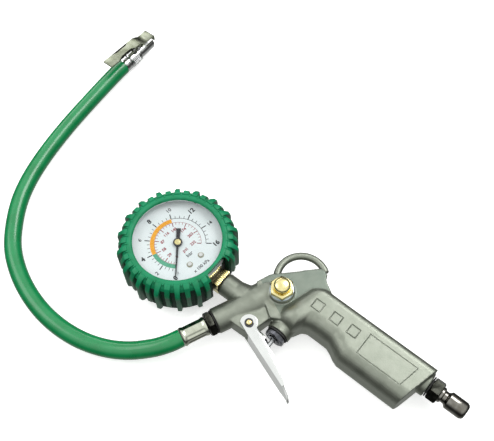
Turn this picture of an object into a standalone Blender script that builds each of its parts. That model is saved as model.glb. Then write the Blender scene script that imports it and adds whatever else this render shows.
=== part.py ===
"""Tyre inflator gun with a pressure gauge, a short rubber hose and a clip-on chuck.

The tool lies on its side. Its drawing datum is the centre of the barrel's hose face:
X runs along the barrel into the body, Z is up and Z = 0 is the casting's mid plane.
Everything hangs on one empty, tool_datum, which stands the tool on Z = 0 of the world
with the middle of its outline at X = Y = 0. The hose and the chuck on it are left out
of that outline.
"""
import math

import bmesh
import bpy
from mathutils import Matrix, Vector

MM = 0.001
GAP = 0.3 * MM            # air between two pieces that touch on the real tool
WELD = 0.001 * MM

# ------------------------------------------------------------------ casting
HALF_THICK = 13.0 * MM    # half of the handle's thickness
HANDLE_EDGE_R = 3.6 * MM
HANDLE_ANGLE = math.radians(-66.5)
HANDLE_WIDTH = 29.8 * MM
HANDLE_BACK = 55.4 * MM   # distance of the handle's back line from the datum
NECK_WIDTH = 24.8 * MM    # narrower part above the finger step
NECK_TOP = 43.5 * MM
STEP_AT = 63.5 * MM
HANDLE_END = 111.7 * MM
END_SLOPE = math.radians(14.5)
SHOULDER_HALF = 8.8 * MM
SHOULDER_EDGE_R = 2.5 * MM

BARREL_R = 8.0 * MM
BARREL_ROOT_R = 9.8 * MM
BARREL_LENGTH = 46.0 * MM
BARREL_BORE_R = 3.0 * MM
BRANCH_AT = 25.9 * MM
BRANCH_ANGLE = math.radians(114.8)
BRANCH_R = 7.2 * MM
BRANCH_LENGTH = 21.0 * MM
BRANCH_BORE_R = 2.1 * MM
PORT_R = 4.8 * MM         # threaded ports of the hose, gauge and inlet
PORT_DEPTH = 11.0 * MM
FIT = 0.3 * MM            # radial play of a screwed piece in its port

LOOP_CENTRE = Vector((60.3, 0.2, 0.0)) * MM
LOOP_R = 15.2 * MM
LOOP_WIRE_R = 2.4 * MM

# ------------------------------------------------------------------ trigger and its valve
PIVOT = Vector((17.2, -12.7, 0.0)) * MM
PIVOT_R = 1.8 * MM
LEVER_WIDTH = 15.6 * MM
LEVER_SHEET = 1.2 * MM
LEVER_LENGTH = 50.0 * MM
LEVER_ANGLE = math.radians(-86.0)
LEVER_DEPTH = 7.0 * MM
LEVER_TIP_DEPTH = 2.8 * MM
LEVER_WEB = 4.05 * MM     # pivot to the outside of the web
EAR_R = 5.0 * MM
LUG_HALF = LEVER_WIDTH / 2 - LEVER_SHEET - GAP

VALVE_AT = 34.3 * MM      # valve axis, measured along the handle
VALVE_FACE = 18.3 * MM    # end face of the valve boss
VALVE_BOSS_R = 7.4 * MM
VALVE_BORE_R = 5.2 * MM
VALVE_BORE_END = 50.0 * MM
STEM_R = 1.3 * MM
POPPET_R = 4.0 * MM
POPPET_THICK = 2.6 * MM
GLAND_FLATS = 11.8 * MM
GLAND_HEAD = 3.6 * MM
GLAND_SEAT = 31.0 * MM    # end of the gland, which is the poppet's seat
GASKET_THICK = 0.8 * MM
SPRING_WIRE_R = 0.45 * MM

# ------------------------------------------------------------------ bleed valve
BLEED_AT = Vector((43.3, -4.4, 0.0)) * MM
BLEED_BOSS_R = 7.6 * MM
BLEED_BOSS_TOP = BARREL_ROOT_R + 0.4 * MM
BLEED_BORE_R = 4.4 * MM
BLEED_BORE_END = -5.0 * MM
BLEED_WASHER_R = 7.2 * MM
BLEED_WASHER_THICK = 1.0 * MM
BLEED_FLATS = 13.0 * MM
BLEED_HEAD = 3.4 * MM
BLEED_STROKE = 1.5 * MM
BUTTON_R = 4.9 * MM
BUTTON_HEIGHT = 3.2 * MM
BUTTON_STEM_R = 1.2 * MM

# ------------------------------------------------------------------ gauge
CASE_R = 31.2 * MM
CASE_WALL = 0.8 * MM
CASE_BACK = -10.6 * MM
CASE_RIM = 11.9 * MM
SOCKET_NECK = 5.0 * MM    # brass flats between the branch and the case
SOCKET_FLATS = 12.0 * MM
BOOT_WALL = 2.8 * MM
BOOT_LUG = 3.4 * MM
BOOT_LUGS = 36
BOOT_LIP = 1.7 * MM       # rubber over the bezel
DIAL_WINDOW_R = 27.2 * MM
DIAL_TURN = math.radians(-8.0)
DIAL_Z = 10.4 * MM
DIAL_THICK = 0.6 * MM
LENS_Z = 13.4 * MM
LENS_THICK = 1.4 * MM
BEZEL_THICK = 0.7 * MM
SCALE_START = math.radians(-135.0)
POINTER_LENGTH = 24.5 * MM
POINTER_TAIL = 13.0 * MM
POINTER_HUB_R = 2.9 * MM
ARBOR_R = 0.8 * MM
GEAR_MODULE = 0.5 * MM
PINION_TEETH = 12
SECTOR_TEETH = 54         # as if the sector were a full wheel
SECTOR_CUT_TEETH = 13
GEAR_PLAY = 0.12 * MM
BOURDON_R = 23.5 * MM
BOURDON_WIRE_R = 1.7 * MM
BOURDON_START = math.radians(-70.0)
BOURDON_SWEEP = math.radians(238.0)
PLATE_THICK = 1.0 * MM
BACK_PLATE_Z = 2.4 * MM
FRONT_PLATE_Z = 8.0 * MM

# ------------------------------------------------------------------ inlet plug
INLET_T = 48.0 * MM       # inlet axis, measured across the handle
INLET_BOSS_R = 7.5 * MM
INLET_FACE = 120.0 * MM
PLUG_FLATS = 12.5 * MM
PLUG_HEX = 6.4 * MM
PLUG_NECK = 4.4 * MM
PLUG_NOSE = 12.4 * MM
PLUG_NOSE_R = 5.3 * MM
PLUG_BORE_R = 2.6 * MM

# ------------------------------------------------------------------ hose and chuck
HOSE_R = 5.5 * MM
HOSE_NUT_FLATS = 13.6 * MM
HOSE_NUT_HEAD = 4.0 * MM
HOSE_SEAL = 0.7 * MM
FERRULE_R = 5.9 * MM
FERRULE_LENGTH = 16.4 * MM
CHUCK_ANGLE = math.radians(26.0)
CHUCK_HEIGHT = 7.1 * MM   # height of the chuck's axis above the table
CHUCK_BODY_R = 6.4 * MM
CHUCK_NOSE_R = 5.9 * MM
CHUCK_COLLAR = 5.0 * MM
CHUCK_LENGTH = 30.0 * MM
CHUCK_BORE_R = 4.1 * MM
CHUCK_PIVOT_AT = 14.0 * MM
CLIP_EAR_R = 2.4 * MM
CHUCK_PIVOT_UP = CHUCK_BODY_R + CLIP_EAR_R + GAP
CHUCK_PIN_R = 1.0 * MM
CHUCK_LUG = 3.0 * MM      # width of the lug between the clip's ears
CLIP_ROLL = math.radians(0.0)
CLIP_WIDTH = 8.0 * MM
CLIP_SHEET = 1.0 * MM

# The hose's way from the ferrule to the chuck: a place on the table and the height of
# its centre line above the table.
HOSE_ROUTE = (
    (-30.0, 0.6, 12.3), (-38.5, 2.9, 10.6), (-51.3, 9.0, 7.4), (-63.2, 17.5, 5.8),
    (-73.5, 28.2, 5.6), (-81.8, 41.0, 5.6), (-88.0, 55.6, 5.6), (-91.6, 71.7, 5.6),
    (-92.5, 88.6, 5.6), (-90.2, 105.6, 5.6), (-84.0, 121.2, 5.6), (-75.2, 136.2, 5.6),
    (-64.6, 148.6, 5.6), (-51.4, 160.2, 5.6), (-37.2, 170.6, 5.6), (-22.2, 180.4, 5.6),
    (-6.4, 189.6, 5.8), (9.8, 198.4, 6.4), (21.4, 204.4, 6.9),
)
HOSE_END = (29.6, 208.4)
HOSE_POINTS = 18
HOSE_LEAD = 4.0 * MM      # straight bit at each end

# ------------------------------------------------------------------ derived directions
ALONG = Vector((math.cos(HANDLE_ANGLE), math.sin(HANDLE_ANGLE), 0.0))
ACROSS = Vector((-ALONG.y, ALONG.x, 0.0))
BRANCH_DIR = Vector((math.cos(BRANCH_ANGLE), math.sin(BRANCH_ANGLE), 0.0))
UP = Vector((0.0, 0.0, 1.0))
BARREL_DIR = Vector((1.0, 0.0, 0.0))
HANDLE_FRONT = HANDLE_BACK - HANDLE_WIDTH
NECK_FRONT = HANDLE_BACK - NECK_WIDTH
GAUGE_AT = Vector((BRANCH_AT, 0, 0)) + BRANCH_DIR * (BRANCH_LENGTH + SOCKET_NECK + CASE_R)
LENS_TOP = LENS_Z + LENS_THICK
BEZEL_TOP = LENS_TOP + GAP + BEZEL_THICK
BOOT_TOP = BEZEL_TOP + GAP + BOOT_LIP
SEGMENTS = 18
DISC_SEGMENTS = 36


def in_handle(along, across, z=0.0):
    """A place given by its distances along and across the handle."""
    return ALONG * along + ACROSS * across + UP * z


# ------------------------------------------------------------------ scene and helpers
for old in list(bpy.data.objects):
    bpy.data.objects.remove(old, do_unlink=True)

PARTS = bpy.data.collections.new("tyre_inflator")
CUTTERS = bpy.data.collections.new("construction")
for new_collection in (PARTS, CUTTERS):
    bpy.context.scene.collection.children.link(new_collection)


def material(name, colour, roughness, metallic):
    made = bpy.data.materials.new(name)
    made.use_nodes = True
    shader = made.node_tree.nodes["Principled BSDF"]
    shader.inputs["Base Color"].default_value = (*colour, 1.0)
    shader.inputs["Roughness"].default_value = roughness
    shader.inputs["Metallic"].default_value = metallic
    made.diffuse_color = (*colour, 1.0)
    return made


CAST_ALLOY = material("cast_alloy", (0.42, 0.44, 0.38), 0.5, 0.9)
CHROME = material("chrome", (0.80, 0.82, 0.83), 0.12, 1.0)
BLACK_CHROME = material("black_chrome", (0.06, 0.07, 0.09), 0.2, 1.0)
BRASS = material("brass", (0.80, 0.66, 0.28), 0.25, 1.0)
STEEL = material("steel", (0.55, 0.56, 0.57), 0.3, 1.0)
GREEN_RUBBER = material("green_rubber", (0.005, 0.24, 0.10), 0.45, 0.0)
BLACK_RUBBER = material("black_rubber", (0.02, 0.02, 0.02), 0.7, 0.0)
DIAL_WHITE = material("dial_white", (0.86, 0.90, 0.90), 0.5, 0.0)
CLEAR = material("clear_lens", (0.95, 0.97, 0.97), 0.05, 0.0)
POINTER_BLACK = material("pointer_black", (0.03, 0.03, 0.03), 0.5, 0.0)


def empty(name, location, parent=None, turn=0.0):
    made = bpy.data.objects.new(name, None)
    PARTS.objects.link(made)
    made.parent = parent
    made.location = location
    made.rotation_euler = (0.0, 0.0, turn)
    return made


TOOL = empty("tool_datum", (0.0, 0.0, 0.0))
GAUGE = empty("gauge_datum", GAUGE_AT, TOOL, BRANCH_ANGLE - math.pi / 2)


def frame_at(origin, direction=UP):
    """Local Z along direction; local X points up wherever direction is level."""
    z_axis = Vector(direction).normalized()
    x_axis = UP if abs(z_axis.z) < 0.9 else BARREL_DIR
    x_axis = (x_axis - z_axis * x_axis.dot(z_axis)).normalized()
    y_axis = z_axis.cross(x_axis)
    turn = Matrix((x_axis, y_axis, z_axis)).transposed().to_4x4()
    return Matrix.Translation(origin) @ turn


def link(obj, colour, parent, place, cutter=False):
    (CUTTERS if cutter else PARTS).objects.link(obj)
    if colour:
        obj.data.materials.append(colour)
    obj.parent = parent
    obj.matrix_basis = place
    obj.hide_render = cutter
    if cutter:
        obj.display_type = "WIRE"
    return obj


def new_mesh(name, bm):
    mesh = bpy.data.meshes.new(name)
    bm.to_mesh(mesh)
    bm.free()
    return bpy.data.objects.new(name, mesh)


def turned(name, profile, colour=None, origin=(0, 0, 0), direction=UP, parent=TOOL,
           steps=SEGMENTS, cutter=False):
    """A turned piece. profile holds (radius, height) pairs, down the outer side.

    A profile that starts and ends on the axis makes a solid; any other is closed into
    a ring.
    """
    bm = bmesh.new()
    points = [bm.verts.new((radius, 0.0, height)) for radius, height in profile]
    for first, second in zip(points, points[1:]):
        bm.edges.new((first, second))
    if profile[0][0] > 0.0:
        bm.edges.new((points[-1], points[0]))
    obj = new_mesh(name, bm)
    screw = obj.modifiers.new("turn", "SCREW")
    screw.steps = steps
    screw.render_steps = steps
    screw.use_merge_vertices = True
    screw.merge_threshold = WELD
    screw.use_smooth_shade = True
    return link(obj, colour, parent, frame_at(Vector(origin), direction), cutter)


def rod(name, radius, start, end, colour=None, origin=(0, 0, 0), direction=UP,
        parent=TOOL, steps=SEGMENTS, cutter=False):
    profile = [(0.0, end), (radius, end), (radius, start), (0.0, start)]
    return turned(name, profile, colour, origin, direction, parent, steps, cutter)


def ring(name, inner, outer, start, end, colour=None, origin=(0, 0, 0), direction=UP,
         parent=TOOL, steps=SEGMENTS, cutter=False):
    profile = [(inner, end), (outer, end), (outer, start), (inner, start)]
    return turned(name, profile, colour, origin, direction, parent, steps, cutter)


def round_ring(name, middle_r, wire_r, height, colour, origin, direction, parent=TOOL):
    """An O-ring: its section runs down the outer side."""
    sides = 6
    profile = []
    for index in range(sides):
        angle = math.pi / 2 - 2 * math.pi * index / sides
        profile.append((middle_r + wire_r * math.cos(angle), height + wire_r * math.sin(angle)))
    return turned(name, profile, colour, origin, direction, parent)


def prism(name, sides, flats, start, end, colour=None, origin=(0, 0, 0), direction=UP,
          parent=TOOL, turn=0.0, cutter=False):
    """A straight prism, such as a hexagon, by the distance across its flats."""
    bm = bmesh.new()
    corner = flats / 2 / math.cos(math.pi / sides)
    bmesh.ops.create_cone(bm, cap_ends=True, segments=sides, radius1=corner,
                          radius2=corner, depth=end - start)
    bmesh.ops.rotate(bm, verts=bm.verts, matrix=Matrix.Rotation(turn, 3, "Z"))
    bmesh.ops.translate(bm, verts=bm.verts, vec=(0.0, 0.0, (start + end) / 2))
    obj = new_mesh(name, bm)
    return link(obj, colour, parent, frame_at(Vector(origin), direction), cutter)


def block(name, size, centre, colour=None, parent=TOOL, turn=0.0, cutter=False):
    bm = bmesh.new()
    bmesh.ops.create_cube(bm, size=1.0)
    bmesh.ops.scale(bm, verts=bm.verts, vec=size)
    obj = new_mesh(name, bm)
    place = Matrix.Translation(centre) @ Matrix.Rotation(turn, 4, "Z")
    return link(obj, colour, parent, place, cutter)


def curve_to_mesh(curve_object, name, colour, parent, place, cutter=False):
    """The evaluated curve as a welded mesh object."""
    bpy.context.scene.collection.objects.link(curve_object)
    graph = bpy.context.evaluated_depsgraph_get()
    mesh = bpy.data.meshes.new_from_object(curve_object.evaluated_get(graph))
    bpy.data.objects.remove(curve_object, do_unlink=True)
    bm = bmesh.new()
    bm.from_mesh(mesh)
    bmesh.ops.remove_doubles(bm, verts=bm.verts, dist=WELD)
    bmesh.ops.dissolve_degenerate(bm, edges=bm.edges, dist=WELD)
    bm.to_mesh(mesh)
    bm.free()
    mesh.materials.clear()
    mesh.name = name
    return link(bpy.data.objects.new(name, mesh), colour, parent, place, cutter)


def plate(name, outline, low, high, colour=None, origin=(0, 0, 0), parent=TOOL,
          edge_r=0.0, edge_steps=2, cutter=False, direction=UP):
    """A flat outline given thickness between two heights, with its rims rounded."""
    curve = bpy.data.curves.new(name, "CURVE")
    curve.dimensions = "2D"
    curve.fill_mode = "BOTH"
    curve.extrude = (high - low) / 2
    spline = curve.splines.new("POLY")
    spline.points.add(len(outline) - 1)
    for point, (x, y) in zip(spline.points, outline):
        point.co = (x, y, 0.0, 1.0)
    spline.use_cyclic_u = True
    place = frame_at(Vector(origin), direction) @ Matrix.Translation((0, 0, (low + high) / 2))
    flat = bpy.data.objects.new(name, curve)
    obj = curve_to_mesh(flat, name, colour, parent, place, cutter)
    if edge_r:
        bevel = obj.modifiers.new("rims", "BEVEL")
        bevel.width = edge_r
        bevel.segments = edge_steps
        bevel.limit_method = "ANGLE"
        bevel.angle_limit = math.radians(60.0)
    return obj


def rounded(corners, steps=3):
    """A closed outline from (x, y, radius) corners, each with its arc."""
    outline = []
    count = len(corners)
    for index, (x, y, radius) in enumerate(corners):
        here = Vector((x, y))
        before = Vector(corners[index - 1][:2]) - here
        after = Vector(corners[(index + 1) % count][:2]) - here
        if radius == 0.0:
            outline.append((x, y))
            continue
        half = before.angle(after) / 2
        reach = radius / math.tan(half)
        middle = here + (before.normalized() + after.normalized()).normalized() * (
            radius / math.sin(half))
        first = here + before.normalized() * reach - middle
        last = here + after.normalized() * reach - middle
        swing = math.atan2(first.x * last.y - first.y * last.x, first.dot(last))
        for step in range(steps + 1):
            turn = Matrix.Rotation(swing * step / steps, 2)
            place = middle + turn @ first
            outline.append((place.x, place.y))
    return outline


def arc(centre, radius, start, end, steps):
    return [(centre[0] + radius * math.cos(start + (end - start) * step / steps),
             centre[1] + radius * math.sin(start + (end - start) * step / steps))
            for step in range(steps + 1)]


def tube(name, points, radius, colour, parent=TOOL, resolution=2, place=None, cutter=False):
    """A round wire or tube along points, closed at both ends."""
    curve = bpy.data.curves.new(name, "CURVE")
    curve.dimensions = "3D"
    curve.bevel_depth = radius
    curve.bevel_resolution = resolution
    curve.use_fill_caps = True
    spline = curve.splines.new("POLY")
    spline.points.add(len(points) - 1)
    for point, place_on_line in zip(spline.points, points):
        point.co = (*place_on_line, 1.0)
    wire = bpy.data.objects.new(name, curve)
    return curve_to_mesh(wire, name, colour, parent, place or Matrix(), cutter)


def coil(name, coil_r, wire_r, start, end, turns, colour, origin, direction, parent=TOOL):
    """A compression spring between two heights along direction."""
    points_per_turn = 10
    count = int(turns * points_per_turn)
    low = start + wire_r
    rise = end - start - 2 * wire_r
    points = []
    for index in range(count + 1):
        angle = 2 * math.pi * index / points_per_turn
        height = low + rise * index / count
        points.append((coil_r * math.cos(angle), coil_r * math.sin(angle), height))
    return tube(name, points, wire_r, colour, parent, 1, frame_at(Vector(origin), direction))


def combine(target, other, operation="DIFFERENCE", solver="EXACT"):
    modifier = target.modifiers.new(operation.lower() + "_" + other.name, "BOOLEAN")
    modifier.operation = operation
    modifier.object = other
    modifier.solver = solver


def cut(target, *others, solver="EXACT"):
    for other in others:
        combine(target, other, solver=solver)


def join(target, *others):
    for other in others:
        combine(target, other, "UNION")


# ------------------------------------------------------------------ casting
def handle_outline():
    """Handle, finger step, web of the thumb and shoulder in the mid plane."""
    slope = math.tan(END_SLOPE)
    corners = (
        (38.5 * MM, 31.5 * MM, 0.0),
        (NECK_TOP, NECK_FRONT, 4.5 * MM),
        (STEP_AT, NECK_FRONT, 5.0 * MM),
        (STEP_AT + 5.5 * MM, HANDLE_FRONT, 4.5 * MM),
        (HANDLE_END, HANDLE_FRONT, 4.5 * MM),
        (HANDLE_END + HANDLE_WIDTH * slope, HANDLE_BACK, 5.0 * MM),
        (46.0 * MM, HANDLE_BACK - 0.4 * MM, 9.0 * MM),
        (36.4 * MM, HANDLE_BACK + 6.0 * MM, 7.0 * MM),
        (35.2 * MM, HANDLE_BACK + 14.6 * MM, 4.0 * MM),
        (20.5 * MM, HANDLE_BACK - 0.6 * MM, 4.0 * MM),
        (28.5 * MM, HANDLE_BACK - 9.0 * MM, 8.0 * MM),
    )
    places = [(in_handle(along, across), radius) for along, across, radius in corners]
    return rounded([(place.x, place.y, radius) for place, radius in places])


def shoulder_outline():
    """Flat part that carries the bleed valve and the loop, in the mid plane."""
    corner = in_handle(34.9 * MM, HANDLE_BACK + 14.0 * MM)
    return rounded((
        (31.0 * MM, -4.0 * MM, 0.0),
        (38.0 * MM, -23.0 * MM, 0.0),
        (52.0 * MM, -23.0 * MM, 0.0),
        (corner.x - 2.0 * MM, corner.y + 0.9 * MM, 3.0 * MM),
        (54.5 * MM, 4.4 * MM, 6.0 * MM),
        (43.0 * MM, 8.9 * MM, 6.0 * MM),
        (32.0 * MM, 8.6 * MM, 0.0),
    ))


def web_outline():
    """Web under the barrel, which is also the trigger's lug."""
    return rounded((
        (8.6 * MM, -4.0 * MM, 0.0),
        (8.8 * MM, -7.2 * MM, 1.0 * MM),
        (12.9 * MM, -15.6 * MM, 2.0 * MM),
        (19.0 * MM, -17.2 * MM, 2.5 * MM),
        (29.6 * MM, -15.2 * MM, 0.5 * MM),
        (40.0 * MM, -20.0 * MM, 0.0),
        (44.0 * MM, -4.0 * MM, 0.0),
    ))


def make_casting():
    """Barrel, gauge branch, valve boss, handle and loop are one casting."""
    start = HOSE_SEAL
    body = turned("body_casting", [
        (0.0, BARREL_LENGTH), (BARREL_R, BARREL_LENGTH), (BARREL_ROOT_R, BARREL_LENGTH - 8 * MM),
        (BARREL_ROOT_R, BRANCH_AT), (BARREL_R, BRANCH_AT - 12 * MM), (BARREL_R, start + 0.5 * MM),
        (BARREL_R - 0.5 * MM, start), (0.0, start)],
        CAST_ALLOY, direction=BARREL_DIR, steps=28)
    root = Vector((BRANCH_AT, 0, 0))
    valve = in_handle(VALVE_AT, 0.0)
    inlet = in_handle(0.0, INLET_T)
    loop_points = [(LOOP_CENTRE.x + LOOP_R * math.cos(math.radians(angle)),
                    LOOP_CENTRE.y + LOOP_R * math.sin(math.radians(angle)), 0.0)
                   for angle in range(-14, 195, 12)]
    branch_profile = [
        (0.0, BRANCH_LENGTH), (BRANCH_R - 0.5 * MM, BRANCH_LENGTH),
        (BRANCH_R, BRANCH_LENGTH - 0.5 * MM), (BRANCH_R, 12 * MM), (BARREL_R + 0.6 * MM, 6 * MM),
        (BARREL_R + 0.6 * MM, 0.0), (0.0, 0.0)]
    boss_profile = [
        (0.0, 46 * MM), (VALVE_BOSS_R, 46 * MM), (VALVE_BOSS_R, VALVE_FACE + 0.4 * MM),
        (VALVE_BOSS_R - 0.4 * MM, VALVE_FACE), (0.0, VALVE_FACE)]
    join(
        body,
        turned("branch", branch_profile, origin=root, direction=BRANCH_DIR, cutter=True),
        plate("handle", handle_outline(), -HALF_THICK, HALF_THICK,
              edge_r=HANDLE_EDGE_R, cutter=True),
        plate("shoulder", shoulder_outline(), -SHOULDER_HALF, SHOULDER_HALF,
              edge_r=SHOULDER_EDGE_R, edge_steps=2, cutter=True),
        plate("web", web_outline(), -LUG_HALF, LUG_HALF, edge_r=0.6 * MM, edge_steps=1,
              cutter=True),
        turned("valve_boss", boss_profile, origin=valve, direction=ACROSS, cutter=True),
        rod("bleed_boss", BLEED_BOSS_R, 0.0, BLEED_BOSS_TOP, origin=BLEED_AT, cutter=True),
        rod("inlet_boss", INLET_BOSS_R, 90 * MM, INLET_FACE, origin=inlet, direction=ALONG,
            cutter=True),
        tube("loop", loop_points, LOOP_WIRE_R, None, resolution=2, cutter=True),
    )
    cut(
        body,
        rod("barrel_bore", BARREL_BORE_R, -1 * MM, BLEED_AT.x, direction=BARREL_DIR,
            steps=12, cutter=True),
        rod("hose_port", PORT_R, -1 * MM, PORT_DEPTH + start, direction=BARREL_DIR,
            steps=20, cutter=True),
        rod("branch_bore", BRANCH_BORE_R, 0.0, BRANCH_LENGTH - 2 * MM,
            origin=root, direction=BRANCH_DIR, steps=12, cutter=True),
        rod("gauge_port", PORT_R, BRANCH_LENGTH - PORT_DEPTH, BRANCH_LENGTH + 1 * MM,
            origin=root, direction=BRANCH_DIR, steps=20, cutter=True),
        rod("valve_bore", VALVE_BORE_R, VALVE_FACE - 1 * MM, VALVE_BORE_END,
            origin=valve, direction=ACROSS, steps=20, cutter=True),
        rod("bleed_bore", BLEED_BORE_R, BLEED_BORE_END, BLEED_BOSS_TOP + 1 * MM,
            origin=BLEED_AT, steps=20, cutter=True),
        rod("outlet_bore", 2.2 * MM, BLEED_AT.dot(ALONG), VALVE_AT,
            origin=in_handle(0.0, 28.0 * MM), direction=ALONG, steps=12, cutter=True),
        rod("inlet_bore", BARREL_BORE_R, VALVE_AT, INLET_FACE - 2 * MM,
            origin=inlet, direction=ALONG, steps=12, cutter=True),
        rod("inlet_port", PORT_R, INLET_FACE - PORT_DEPTH, INLET_FACE + 1 * MM,
            origin=inlet, direction=ALONG, steps=20, cutter=True),
        rod("pivot_hole", PIVOT_R + GAP, -HALF_THICK, HALF_THICK, origin=PIVOT,
            steps=16, cutter=True),
        solver="MANIFOLD",
    )


# ------------------------------------------------------------------ inlet
def make_inlet():
    """Quick-connect plug: port thread, hexagon, neck with its bead, and nose."""
    inlet = in_handle(0.0, INLET_T)
    face = INLET_FACE + GASKET_THICK + 2 * GAP
    hex_end = face + PLUG_HEX
    neck_end = hex_end + PLUG_NECK
    nose_end = neck_end + PLUG_NOSE
    shank = PORT_R - FIT
    plug = turned("inlet_plug", [
        (PLUG_BORE_R, nose_end), (PLUG_NOSE_R - 1.2 * MM, nose_end),
        (PLUG_NOSE_R, nose_end - 1.6 * MM), (PLUG_NOSE_R, neck_end + 0.8 * MM),
        (PLUG_NOSE_R - 1.0 * MM, neck_end), (PLUG_NOSE_R - 1.6 * MM, neck_end - 0.8 * MM),
        (PLUG_NOSE_R - 1.6 * MM, hex_end + 1.8 * MM), (PLUG_NOSE_R - 0.4 * MM, hex_end + 1.2 * MM),
        (PLUG_NOSE_R - 0.4 * MM, hex_end - 1.0 * MM), (shank, hex_end - 1.0 * MM),
        (shank, INLET_FACE - PORT_DEPTH + 1.5 * MM),
        (PLUG_BORE_R, INLET_FACE - PORT_DEPTH + 1.5 * MM)],
        CHROME, inlet, ALONG)
    hexagon = prism("plug_hexagon", 6, PLUG_FLATS, face, hex_end, origin=inlet,
                    direction=ALONG, turn=math.radians(30), cutter=True)
    hollow = rod("plug_hollow", shank - 0.5 * MM, face - 1 * MM, hex_end + 1 * MM,
                 origin=inlet, direction=ALONG, cutter=True)
    cut(hexagon, hollow)
    join(plug, hexagon)
    ring("inlet_seal", PORT_R, INLET_BOSS_R - 1.0 * MM, INLET_FACE + GAP,
         INLET_FACE + GAP + GASKET_THICK, BLACK_RUBBER, inlet, ALONG)


# ------------------------------------------------------------------ trigger valve
def make_valve():
    """Gland with the seat on its inner end, stem with its poppet, and their spring."""
    origin = in_handle(VALVE_AT, 0.0)
    head_back = VALVE_FACE - GASKET_THICK - 2 * GAP
    head_front = head_back - GLAND_HEAD
    shank = VALVE_BORE_R - FIT
    guide = STEM_R + GAP
    wide = STEM_R + 1.7 * MM
    groove = 27.0 * MM
    gland = turned("valve_gland_nut", [
        (wide, GLAND_SEAT), (shank, GLAND_SEAT), (shank, groove + 2.2 * MM),
        (shank - 0.9 * MM, groove + 1.4 * MM), (shank - 0.9 * MM, groove - 1.4 * MM),
        (shank, groove - 2.2 * MM), (shank, head_front + 0.8 * MM),
        (shank - 0.8 * MM, head_front), (guide, head_front),
        (guide, VALVE_FACE), (wide, VALVE_FACE)],
        BLACK_CHROME, origin, ACROSS)
    hexagon = prism("gland_hexagon", 6, GLAND_FLATS, head_front + 0.5 * MM, head_back,
                    origin=origin, direction=ACROSS, cutter=True)
    hollow = rod("gland_hollow", shank - 0.6 * MM, head_front - 1 * MM, head_back + 1 * MM,
                 origin=origin, direction=ACROSS, cutter=True)
    cut(hexagon, hollow)
    join(gland, hexagon)
    cut(gland, rod("gland_cross_hole", 1.1 * MM, -VALVE_BORE_R * 2, VALVE_BORE_R * 2,
                   origin=origin + ACROSS * groove, steps=12, cutter=True))
    ring("valve_gasket", shank + GAP, VALVE_BOSS_R - 0.6 * MM, VALVE_FACE - GAP - GASKET_THICK,
         VALVE_FACE - GAP, BLACK_RUBBER, origin, ACROSS)
    round_ring("stem_o_ring", STEM_R + GAP + 0.5 * MM, 0.5 * MM, VALVE_FACE + 1.2 * MM,
               BLACK_RUBBER, origin, ACROSS)

    tip = lever_web_hit()
    seat = GLAND_SEAT + GAP
    seal = 1.0 * MM
    poppet = seat + seal + GAP
    neck = STEM_R + 0.5 * MM
    turned("valve_stem", [
        (0.0, poppet + POPPET_THICK + 1.2 * MM), (STEM_R, poppet + POPPET_THICK + 1.2 * MM),
        (STEM_R, poppet + POPPET_THICK), (POPPET_R, poppet + POPPET_THICK), (POPPET_R, poppet),
        (neck, poppet), (neck, seat - 1.2 * MM), (STEM_R, seat - 1.8 * MM),
        (STEM_R, tip + 0.8 * MM), (STEM_R * 0.6, tip + 0.2 * MM), (0.0, tip)],
        BRASS, origin, ACROSS, steps=16)
    ring("valve_seal", neck + GAP, POPPET_R, seat, seat + seal, BLACK_RUBBER, origin, ACROSS)
    coil("valve_spring", POPPET_R - 0.6 * MM, SPRING_WIRE_R, poppet + POPPET_THICK + GAP,
         VALVE_BORE_END - GAP, 6, STEEL, origin, ACROSS)


# ------------------------------------------------------------------ trigger
def lever_frame():
    """Lever coordinates: X from the pivot to the tip, Y towards the handle."""
    return Matrix.Translation(PIVOT) @ Matrix.Rotation(LEVER_ANGLE, 4, "Z")


def lever_web_hit():
    """Where the valve's axis meets the inside of the lever's web, less the gap."""
    side = Vector((-math.sin(LEVER_ANGLE), math.cos(LEVER_ANGLE), 0.0))
    inside = -(LEVER_WEB - LEVER_SHEET)
    start = in_handle(VALVE_AT, 0.0) - PIVOT
    return (inside - start.dot(side)) / ACROSS.dot(side) + GAP


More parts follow.
